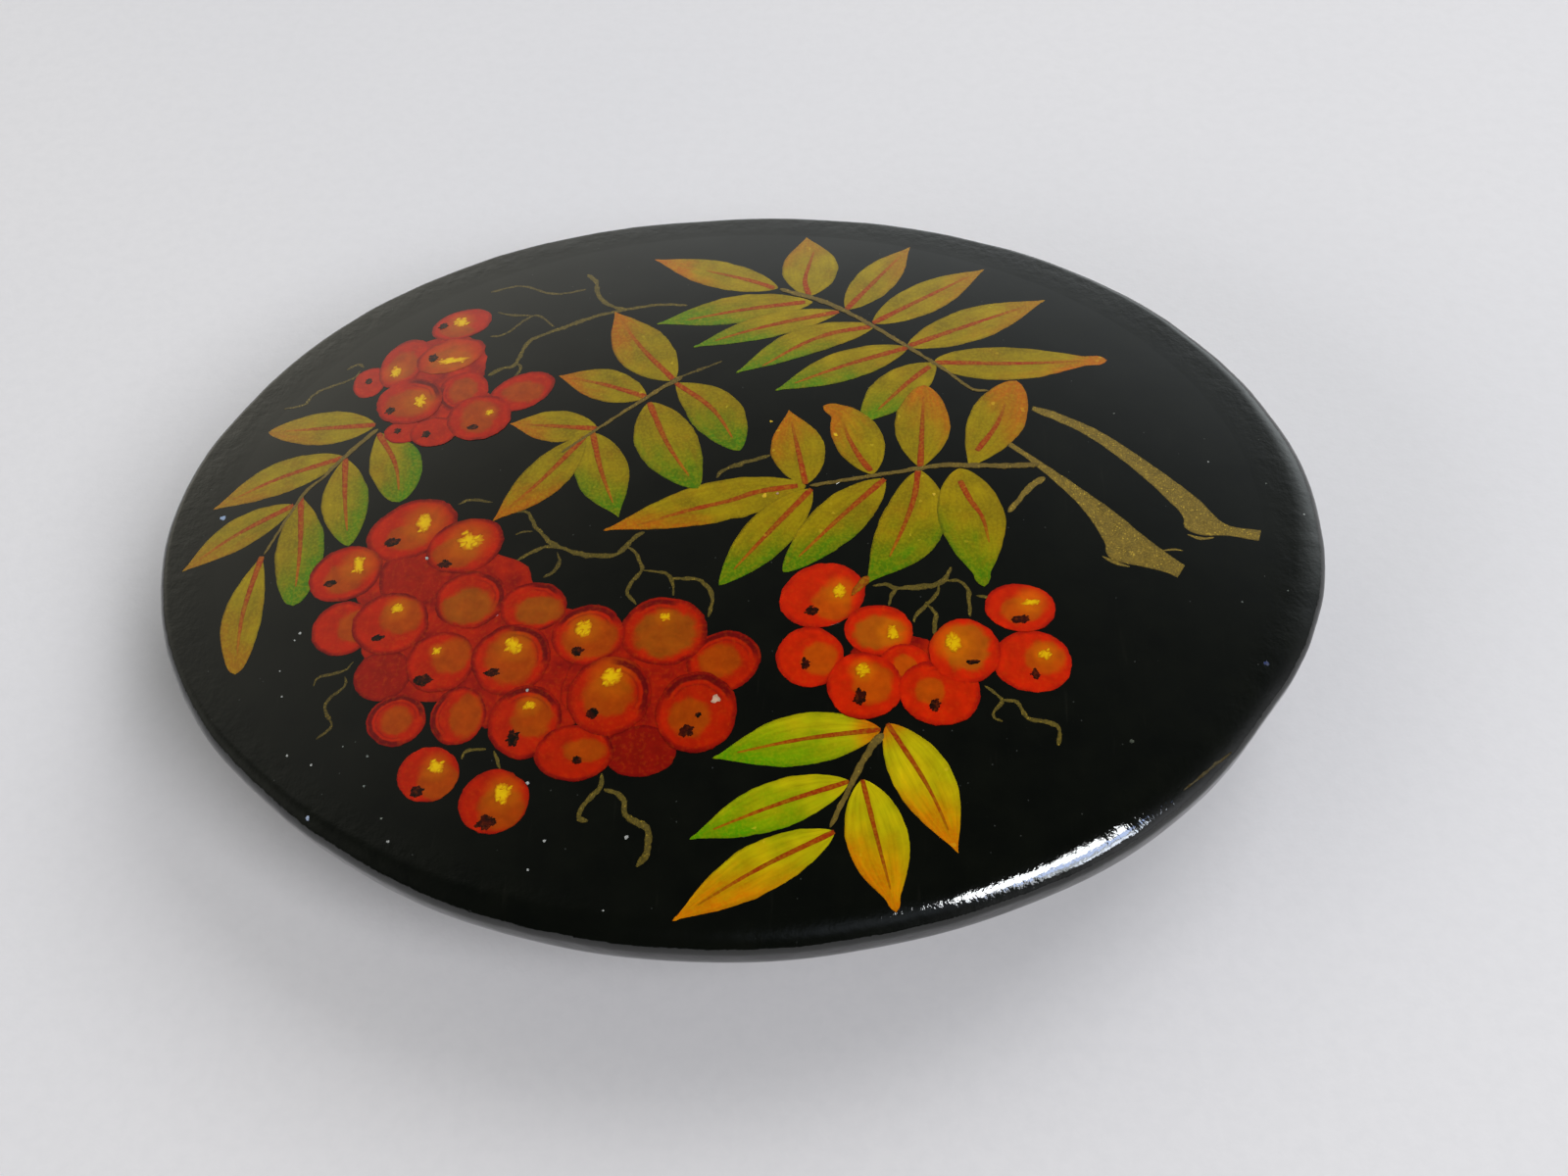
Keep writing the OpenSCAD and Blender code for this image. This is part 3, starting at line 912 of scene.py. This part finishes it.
BERRIES_TOP = [
    seen(-17.9, 5.2, 1.1, 0.8, eye=(-0.35, 0.1, 0.2, 0.2)),
    seen(-15.1, 8, 1.4, 1.5, glow=(0, 0.1, 0.8, 0.9), shadow=(150, 120)),
    seen(-16.1, 13.3, 1.75, 1.2, 20, glow=(-0.2, -0.5, 1, 0.5), shine=(-0.1, 0.2, 0.4, 0.35),
         eye=(-1.1, -0.05, 0.25, 0.25)),
    seen(-20.6, 9, 0.95, 1.15, eye=(-0.1, 0.1, 0.2, 0.25)),
    seen(-18.9, 10.4, 1.3, 1.9, -15, glow=(0, -0.2, 0.8, 1.1), shine=(-0.35, -0.7, 0.25, 0.4)),
    seen(-16.3, 10.8, 1.95, 1.3, 20, glow=(0.1, -0.3, 1.3, 0.7), shine=(0.1, -0.4, 0.8, 0.22),
         eye=(-1, -0.1, 0.25, 0.3)),
    seen(-18, 7.4, 1.85, 1.7, glow=(0, -0.1, 1.3, 1), shine=(0.6, 0, 0.3, 0.5),
         eye=(-0.95, -0.6, 0.25, 0.3), shadow=(0, 110)),
    seen(-16.2, 5.1, 1.3, 1.05, eye=(-0.4, -0.15, 0.25, 0.25)),
    seen(-11.8, 7.8, 1.9, 1.3, 30, glow=(0.1, 0, 1.1, 0.8)),
    seen(-13.9, 6, 1.75, 1.6, glow=(0, 0.1, 1, 1.2), shine=(0.55, 0.35, 0.2, 0.2),
         eye=(-0.2, -0.7, 0.3, 0.2)),
]

# The clusters, how bright they are and how strong their crimson outlines are: the left one was
# glazed darker.
BERRIES = {
    "berries_right": (BERRIES_RIGHT, 1.12, 0.35),
    "berries_left": (BERRIES_LEFT, 0.85, 0.75),
    "berries_single": (BERRIES_SINGLE, 0.84, 0.4),
    "berries_top": (BERRIES_TOP, 0.8, 0.55),
}

# Crimson ground that fills the gaps inside the dense clusters: centres and radii.
GROUNDS = [
    ((-13.4, -6.8), 4.6, 4.4), ((-8.6, -9.6), 4.8, 3.4), ((-3.6, -10.6), 3.6, 2.9),
    ((-17.0, -4.0), 1.9, 2.2), ((-16.6, 9.2), 2.6, 3.2), ((-15.0, 6.6), 2.2, 1.6), ((8.6, -9.0), 2.2, 1.5),
]

# ---- twigs and branches
WOOD = srgb(80, 71, 28)
FAINT = srgb(62, 55, 26)
BRONZE = srgb(120, 100, 40)
STEM = srgb(106, 88, 38)


def brush_line(paint, points, widths, colour, seed, ragged, gold=0.0):
    """One long stroke. widths are spread evenly along it, and ragged is how uneven its sides are."""
    line = curve_through(points, 0.14)
    length = along(line)[1]

    def reach(t, at):
        width = float(np.interp(t, np.linspace(0, 1, len(widths)), widths))
        even = width / 2 * min(1.0, 0.35 + 3.0 * min(t, 1 - t) * length)
        return [
            even * max(0.25, 1 + ragged * (wobble(at, 0.5, seed + s) + 0.7 * wobble(at, 0.17, seed + s)))
            for s in (3, 8)
        ]

    def shade(t, s, x, y):
        return lit(colour, 1 + 0.3 * mottle(x, y, 0.4, seed))

    stroke(paint, line, (1, 1 / 3, -1 / 3, -1), reach, shade, gold=gold)


def between(paint, upper, lower, seed):
    """A branch: a broad bronze stroke between two edges that run the same way."""
    edges = [curve_through(edge, 0.05) for edge in (upper, lower)]
    shares = [along(edge)[0] for edge in edges]
    rows = []
    for t in np.linspace(0, 1, 70):
        a, b = (
            Vector([float(np.interp(t, share, [p[axis] for p in edge])) for axis in (0, 1)])
            for share, edge in zip(shares, edges)
        )
        out = (a - b).normalized() * 0.04
        a += out * wobble(t * 9, 0.3, seed)
        b -= out * wobble(t * 9, 0.3, seed + 4)
        rows.append([tuple(a + (b - a) * k / 8) for k in range(9)])

    def shade(i, j, x, y):
        worn = 0.35 * mottle(x, y, 0.5, seed) + 0.25 * mottle(x, y, 0.2, seed)
        return lit(BRONZE, 1 + worn - 0.2 * (1 - j / 8)), (i * 0.1, 0)

    paint.ribbon(rows, shade, gold=1.0)


# The two edges of each branch, from its tip to its sawn foot.
BRANCHES = [
    ([(15.6, 6.8), (16.8, 6.4), (19.4, 4.9), (23.3, 1.4), (24.8, -0.4), (26.6, -0.7)],
     [(15.5, 6.5), (18.2, 4.95), (20.6, 2.7), (22.4, 0.5), (22.8, -0.2), (22.8, -0.8), (23.6, -1.2),
      (25, -1.15), (26.4, -1.35)]),
    ([(14.3, 4.3), (18.7, 0.6), (20.9, -1.6), (22.6, -3.1)],
     [(14.2, 4), (15.4, 2.9), (17.5, 0.5), (18.7, -1.7), (18.8, -2.5), (19.2, -3), (21.2, -3.4),
      (22.2, -3.8)]),
]

# Finer strokes in the same gold, such as a side shoot and stray hairs of the brush: line and widths.
BRANCH_STROKES = [
    ([(16, 2), (15.2, 1.3), (14.1, -0.3)], [0.4, 0.25]),
    ([(18.6, -2.75), (19.2, -3.1), (19.9, -3.3)], [0.15, 0.2, 0.12]),
    ([(22.9, -1.2), (23.5, -1.4), (24.2, -1.3)], [0.12, 0.2, 0.12]),
    ([(21.6, -2.25), (22.2, -2.15), (22.6, -2.2)], [0.1, 0.12, 0.08]),
]

# Twigs: line, width and colour.
TWIGS = [
    ([(-3.3, 14.3), (-5, 14.4), (-8, 13.7), (-11.2, 12.2), (-12, 11.6), (-12.5, 9.9),
      (-13.2, 9.6), (-13.9, 9.1)], 0.28, WOOD),
    ([(-6.8, 14.1), (-7.5, 14.3), (-8.3, 15), (-8.7, 15.9), (-8.75, 16.5), (-9.4, 17.2)], 0.32, WOOD),
    ([(-9.3, 15.9), (-10.5, 15.6), (-11.5, 15.7), (-13.2, 16.4), (-14.9, 16)], 0.2, FAINT),
    ([(-10.7, 12.8), (-12, 13.8), (-13.4, 12.4), (-14.3, 12.2)], 0.2, FAINT),
    ([(-12.1, 13.8), (-13.3, 13.9), (-14.2, 14.2)], 0.2, FAINT),
    ([(-12.4, 10), (-12.1, 9.6), (-12.4, 8.8)], 0.2, FAINT),
    ([(-21.2, 10.2), (-21.6, 10.5), (-22.2, 10.1)], 0.2, FAINT),
    ([(-21.4, 10), (-21.7, 9.4), (-23.2, 8.7), (-23.8, 8.2), (-24.1, 7.6), (-25.2, 7.4)], 0.2, FAINT),
    ([(-12.2, 0.2), (-13.4, 0.4), (-14, 0.1)], 0.2, FAINT),
    ([(-10.9, -0.5), (-10.3, -0.5), (-9.7, -1.4), (-8.8, -2.4), (-7.6, -3), (-6, -3.25),
      (-5.3, -3.1), (-4.6, -2.2), (-4.1, -1.8)], 0.3, WOOD),
    ([(-9.8, -1.7), (-10.3, -1.7), (-10.7, -1.9)], 0.12, FAINT),
    ([(-8.4, -2.7), (-9.2, -2.7), (-10.6, -3.6)], 0.22, WOOD),
    ([(-8.4, -3), (-8.2, -3.6), (-8.4, -4.1), (-8.9, -4.5)], 0.25, FAINT),
    ([(-4.9, -2.7), (-4.5, -3), (-4, -4), (-4.4, -4.7), (-4.6, -5.4), (-4.1, -6.1)], 0.25, WOOD),
    ([(-4, -4.1), (-2.8, -4.3), (-2.4, -4.9), (-2.3, -5.6)], 0.22, WOOD),
    ([(-2.5, -4.6), (-1.1, -4.7), (-0.4, -5.6), (-0.5, -6.8)], 0.25, WOOD),
    ([(-0.7, 1.6), (-0.2, 2.2), (2, 3.1)], 0.3, WOOD),
    ([(7.4, -4.9), (8, -4.8), (8.6, -5), (10.3, -4.8), (10.9, -4.4), (11.2, -3.7)], 0.3, WOOD),
    ([(8.6, -5), (8.3, -5.5), (8.2, -6)], 0.25, WOOD),
    ([(10.6, -4.7), (10.5, -5.3), (9.6, -6.4), (9.4, -6.9)], 0.25, WOOD),
    ([(10, -5.9), (10.4, -6.4), (10.4, -7.6)], 0.28, WOOD),
    ([(11, -4.5), (11.6, -4.5), (12, -5), (12.1, -6.5)], 0.25, WOOD),
    ([(12.4, -5.3), (13.1, -5.4)], 0.2, WOOD),
    ([(12.7, -10.2), (13.5, -10.9), (13.1, -11.5), (13.1, -11.8), (13.5, -12)], 0.22, WOOD),
    ([(13.5, -10.9), (14.2, -11), (14.7, -11.8), (15.8, -12), (16.1, -12.4), (16, -13.1)], 0.25, WOOD),
    ([(-17.8, -9.1), (-18.2, -9.6), (-19.4, -9.9), (-19.6, -10.4)], 0.18, FAINT),
    ([(-18.1, -9.9), (-18, -10.4), (-18.8, -11.4), (-18.3, -12.5), (-18.9, -13.2)], 0.18, FAINT),
    ([(-11.6, -14.3), (-11.4, -13.9), (-10.5, -13.8)], 0.22, WOOD),
    ([(-10.1, -13.9), (-9.9, -14.3), (-9.7, -14.8)], 0.22, WOOD),
    ([(-4.9, -15), (-4.9, -15.7), (-5.6, -16.6), (-5.7, -17.2), (-5.3, -17.3)], 0.3, WOOD),
    ([(-4.7, -15.8), (-4.1, -16), (-3.7, -16.4), (-3.6, -17), (-2.6, -17.6),
      (-2.5, -18.8), (-2.9, -19.4)], 0.35, WOOD),
    ([(-1, 9.8), (-3.3, 8.6)], 0.18, FAINT),
]

# Specks on the lacquer: place, size and colour. The two pale blue ones are painted glints of light; the
# rest are dust and flecks.
PALE = srgb(180, 184, 182)
GREYISH = srgb(108, 116, 112)
SPECKS_AND_GLINTS = [
    ((1.85, 0.45), 0.16, SUN), ((2.5, 0.6), 0.08, srgb(200, 150, 130)), ((5.3, 4.5), 0.14, SUN),
    ((10.4, 0.7), 0.1, SUN), ((1.9, 5.4), 0.09, SUN), ((-15.1, -3.2), 0.11, PALE),
    ((-20.9, -7.4), 0.09, PALE), ((-21.1, -7.8), 0.06, PALE), ((-20.2, -14), 0.07, PALE),
    ((-18.9, -14.5), 0.08, PALE), ((-8.9, -10.8), 0.09, PALE), ((-8.3, -15.5), 0.1, PALE),
    ((-3.45, -18.05), 0.12, PALE), ((-14.5, -18.3), 0.09, PALE), ((-7.2, -18.25), 0.09, PALE),
    ((-7.8, -19.6), 0.07, PALE), ((-4.2, -21.4), 0.06, PALE),
    ((0.15, -11.25), 0.26, srgb(224, 180, 150)), ((-26.8, -0.1), 0.2, srgb(150, 176, 214)),
    ((-18.6, -17.1), 0.12, srgb(170, 186, 214)), ((-21.5, -9.5), 0.05, PALE),
    ((-21.1, -10.9), 0.06, PALE), ((-16.2, -14.1), 0.08, GREYISH), ((-16.1, -15.6), 0.07, GREYISH),
    ((-15, -17.2), 0.08, GREYISH), ((-17.5, -13.6), 0.05, GREYISH), ((24.4, 3.5), 0.06, PALE),
    ((27.2, 2.3), 0.06, GREYISH), ((28.9, 0.5), 0.06, PALE), ((27.5, -4.2), 0.05, GREYISH),
    ((25.2, -5), 0.05, GREYISH), ((19.8, 6.5), 0.05, GREYISH),
    ((19.4, -12.7), 0.12, srgb(62, 70, 62)), ((26, -8.3), 0.16, srgb(36, 52, 100)),
]

# Where hands have worn the black off along the lower right edge.
WORN_LINE = [(21.6, -14.9), (22.4, -14.2), (23.2, -13.5), (24.0, -12.8)]
SOOT_DOT = (-0.6, -12.05)  # a second dark dot on the last berry of the left cluster
LEAF_TIP = [(7.2, -4.4), (6.8, -4.9), (6.4, -5.5)]  # one leaf's tip lies over the first berry


def ground_colour(x, y, share):
    return blend_colours(0.5 + 0.65 * mottle(x, y, 0.9) + 0.3 * mottle(x, y, 0.3), CRIMSON, RED)


def paint_wood(gold):
    """Twigs and the two branches, which everything else is painted over."""
    twigs = Paint("twigs")
    for k, (points, width, colour) in enumerate(TWIGS):
        widths = [width * 0.6, width * 0.9, width * 0.75]
        brush_line(twigs, points, widths, colour, gold=0.5, seed=k + 1, ragged=0.75)
    twigs.finish(gold)
    branches = Paint("gold_branches")
    for k, (points, widths) in enumerate(BRANCH_STROKES):
        brush_line(branches, points, widths, BRONZE, gold=0.8, seed=k + 60, ragged=0.4)
    for k, (upper, lower) in enumerate(BRANCHES):
        between(branches, upper, lower, seed=k + 70)
    branches.finish(gold)


def paint_leaves(leaves, gold):
    for number, (name, (sprig, light, body)) in enumerate(SPRIGS.items()):
        paint = Paint(name)
        for k, facts in enumerate(sprig):
            leaf(paint, light=light, body=body, seed=number * 20 + k, **facts)
        paint.finish(leaves)
    stems = Paint("stems")
    for k, (points, width) in enumerate(STEMS):
        widths = [width * 1.15, width * 0.8, width * 0.6]
        brush_line(stems, points, widths, STEM, gold=0.5, seed=k + 80, ragged=0.5)
    stems.finish(gold)


def paint_berries(skins):
    for number, (name, (cluster, tone, rim)) in enumerate(BERRIES.items()):
        paint = Paint(name)
        for k, facts in enumerate(cluster):
            berry(paint, tone=tone, rim=rim, seed=number * 30 + k, **facts)
        paint.finish(skins)
    dot = Paint("soot_dot")
    splash(dot, SOOT_DOT, 0.16, 0.13, 30, SOOT, SOOT, seed=12)
    dot.finish(skins)


def paint_picture():
    """Each layer lies over the ones before it, as on the real plaque."""
    gold, skins = gold_paint(), berry_paint()
    leaves = leaf_paint()
    paint_wood(gold)
    grounds = Paint("berry_ground")
    for k, (centre, rx, ry) in enumerate(GROUNDS):
        grounds.dab(centre, ring_of(rx, ry, 0, 0.08, k + 90, 72), ground_colour, rings=24)
    grounds.finish(skins)
    paint_leaves(leaves, gold)
    paint_berries(skins)
    tip = Paint("leaf_tip")
    brush_line(tip, LEAF_TIP, [0.4, 0.4, 0.15], srgb(150, 70, 10), seed=7, ragged=0.4)
    tip.finish(leaves)
    # The specks include painted glints, small highlights of light on the lacquer, besides dust, flecks and
    # wear.
    flecks_and_glints = Paint("flecks_and_glints")
    for k, (centre, size, colour) in enumerate(SPECKS_AND_GLINTS):
        outline = ring_of(0.8 * size, 0.8 * size, 0, 0.5, k, 14)
        flecks_and_glints.dab(centre, outline, lambda x, y, share, c=colour: c, rings=2)
    brush_line(flecks_and_glints, WORN_LINE, [0.06, 0.13, 0.08], srgb(66, 52, 18), seed=4, ragged=1.2)
    flecks_and_glints.finish(speck_and_glint_paint())


# ---- metal fittings, with their CAD meshes
def dress_fittings():
    nickel = metal("nickel_plate", (206, 204, 198), (150, 142, 128), (228, 228, 226),
                   roughness=0.22, grain_axis=(0.3, 3, 3), wear=0.3)
    steel = metal("turned_steel", (196, 195, 192), (128, 122, 114), (222, 222, 220),
                  roughness=0.3, grain_axis=(1, 1, 1), wear=0.5)
    needle = metal("needle_steel", (204, 206, 208), (150, 150, 150), (232, 234, 236),
                   roughness=0.12, grain_axis=(0.2, 4, 4), wear=0.3)
    brass = metal("brass", (212, 170, 92), (142, 98, 44), (232, 202, 130),
                  roughness=0.24, grain_axis=(2, 2, 0.4), wear=0.6)
    looks = {
        "glue_bed": epoxy(), "base_bar": nickel, "hinge_bracket": nickel, "catch_housing": nickel,
        "bar_screw_left": steel, "bar_screw_right": steel, "hinge_rivet": steel,
        "pin_stem": needle, "catch_roller": brass,
    }
    for node, look in looks.items():
        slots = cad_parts[node].data.materials
        slots.clear()
        slots.append(look)


# ---- floor, light and camera
FLOOR_REACH = 1.6  # metres from the middle to the floor's edge
FLOOR_STEPS = 40  # squares along a side, finest in the middle
FLOOR_GAP = 0.03 * MM  # the paper lies this far under the brooch


def paper_floor():
    """White paper: it lies flat, with faint fibres and very soft clouds of tone."""
    n = material("paper")
    fibres = n.noise(1.2, detail=4.0, rough=0.6)
    clouds = n.noise(0.012)
    tone = n.mix(n.ramp(clouds, 0.3, 0.7), srgb(234, 234, 237), srgb(240, 239, 240))
    tone = n.tint(tone, fibres, 0.4, 0.7, 0.25, (228, 228, 230))
    n.set(Base_Color=tone, Roughness=0.9, Specular_IOR_Level=0.1)
    n.bump((fibres, 0.02))
    shares = [2 * k / FLOOR_STEPS - 1 for k in range(FLOOR_STEPS + 1)]
    spots = [FLOOR_REACH * share * abs(share) for share in shares]
    verts = [(x, y, cad_low.z - FLOOR_GAP) for y in spots for x in spots]
    row = FLOOR_STEPS + 1
    corners = [j * row + i for j in range(FLOOR_STEPS) for i in range(FLOOR_STEPS)]
    faces = [(k, k + 1, k + row + 1, k + row) for k in corners]
    data = bpy.data.meshes.new("floor")
    data.from_pydata(verts, [], faces)
    data.materials.append(n.owner)
    floor = bpy.data.objects.new("floor", data)
    bpy.context.scene.collection.objects.link(floor)


AMBIENT = (0.014, 0.015, 0.016)
# Glows of the room round the object. Angles are in degrees: azimuth (0 in front, 90 right),
# elevation and spread. Then come strength and colour.
GLOWS = [
    (180, 7, 24, 1.45, (0.96, 1, 1.01)),  # the far wall
    (142, 12, 25, 1.8, (0.93, 1, 1.02)),
    (222, 17, 25, 1.42, (1.02, 0.98, 0.84)),
    (272, 18, 25, 0.3, (1, 1, 0.86)),  # the left side
    (240, 53, 12, 0.15, (1, 1, 0.9)),  # faint, where the wall meets the ceiling
    (62, 12, 25, 0.95, (0.97, 0.98, 1.04)),  # below the window
    (24, 52, 13, 0.3, (0.85, 0.95, 1.1)),  # what spills from the window to its left
]


def direction(azimuth, elevation):
    a, e = math.radians(azimuth), math.radians(elevation)
    return Vector((math.sin(a) * math.cos(e), -math.cos(a) * math.cos(e), math.sin(e)))


def room():
    """A dim room with pale walls: the lacquered face mirrors its far side, brightest low down."""
    world = bpy.data.worlds.new("room")
    bpy.context.scene.world = world
    n = Nodes(world, "Generated", "Background")
    total = AMBIENT
    for azimuth, elevation, spread, strength, colour in GLOWS:
        facing = n.vector("DOT_PRODUCT", n.where, direction(azimuth, elevation), output="Value")
        away = n.maths("SUBTRACT", facing, 1.0)
        steep = n.maths("MULTIPLY", away, 1 / (1 - math.cos(math.radians(spread))))
        glow = n.vector("MULTIPLY", n.maths("EXPONENT", steep), [strength * c for c in colour])
        total = n.vector("ADD", glow, total)
    n.set(Color=total)


# Soft panels that face the object: azimuth, elevation, distance, width and height in metres,
# radiance, colour, and whether the panel is only mirrored in surfaces or only lights them.
MIRRORED, LIGHTING = True, False
PANELS = {
    "window": (56, 42, 0.7, 0.34, 0.36, 6.5, (0.97, 0.97, 1), LIGHTING),
    "left_fill": (300, 22, 0.8, 0.6, 0.36, 2.5, (1, 0.98, 1.02), LIGHTING),
    "window_pane": (51, 43, 0.62, 0.205, 0.3, 8, (0.88, 0.94, 1), MIRRORED),
    "sky_behind": (143, 42, 0.8, 0.5, 0.4, 3.1, (1, 0.985, 1), LIGHTING),
    "upper_pane": (51, 55, 0.6, 0.195, 0.12, 30, (0.95, 0.98, 1), MIRRORED),
    "middle_pane": (53, 44, 0.6, 0.18, 0.08, 11, (0.32, 0.5, 1), MIRRORED),
    "lower_pane": (54, 33, 0.6, 0.15, 0.06, 14, (0.75, 0.85, 1), MIRRORED),
}


def lights():
    for name, facts in PANELS.items():
        azimuth, elevation, distance, width, height, radiance, colour, mirrored = facts
        light = bpy.data.lights.new(name, "AREA")
        light.shape = "RECTANGLE"
        light.size, light.size_y = width, height
        light.energy = radiance * width * height * math.pi
        light.color = colour
        panel = bpy.data.objects.new(name, light)
        panel.location = direction(azimuth, elevation) * distance
        panel.rotation_euler = direction(azimuth, elevation).to_track_quat("Z", "Y").to_euler()
        bpy.context.scene.collection.objects.link(panel)
        panel.visible_diffuse = not mirrored
        panel.visible_glossy = mirrored


VIEW_AZIMUTH, VIEW_ELEVATION, VIEW_ROLL = 8.0, 55.9, -6.3  # degrees
VIEW_TARGET = (2.97, -4.25)  # a point at the edge's height, in mm
VIEW_DISTANCE = 79.3 * MM
SENSOR, LENS = 36, 36.64  # mm


def camera():
    """The photograph's view, from above the front edge, slightly to the right and tilted."""
    azimuth, roll = math.radians(VIEW_AZIMUTH), math.radians(VIEW_ROLL)
    target = Vector((*VIEW_TARGET, EDGE_Z)) * MM
    back = direction(VIEW_AZIMUTH, VIEW_ELEVATION)
    level_right = Vector((math.cos(azimuth), math.sin(azimuth), 0))
    level_up = back.cross(level_right)
    right = math.cos(roll) * level_right + math.sin(roll) * level_up
    turn = Matrix((right, back.cross(right), back)).transposed().to_4x4()
    lens = bpy.data.cameras.new("camera")
    lens.sensor_width = SENSOR
    lens.lens = LENS
    lens.clip_start = 0.005
    eye = bpy.data.objects.new("camera", lens)
    eye.matrix_world = Matrix.Translation(target + back * VIEW_DISTANCE) @ turn
    bpy.context.scene.collection.objects.link(eye)
    bpy.context.scene.camera = eye


bpy.context.scene.view_settings.view_transform = "Standard"
plaque = add_piece("lacquer_plaque", plaque_mesh(), black_lacquer())
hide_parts("plaque")
paint_picture()
dress_fittings()
paper_floor()
room()
lights()
camera()

bpy.context.view_layer.update()
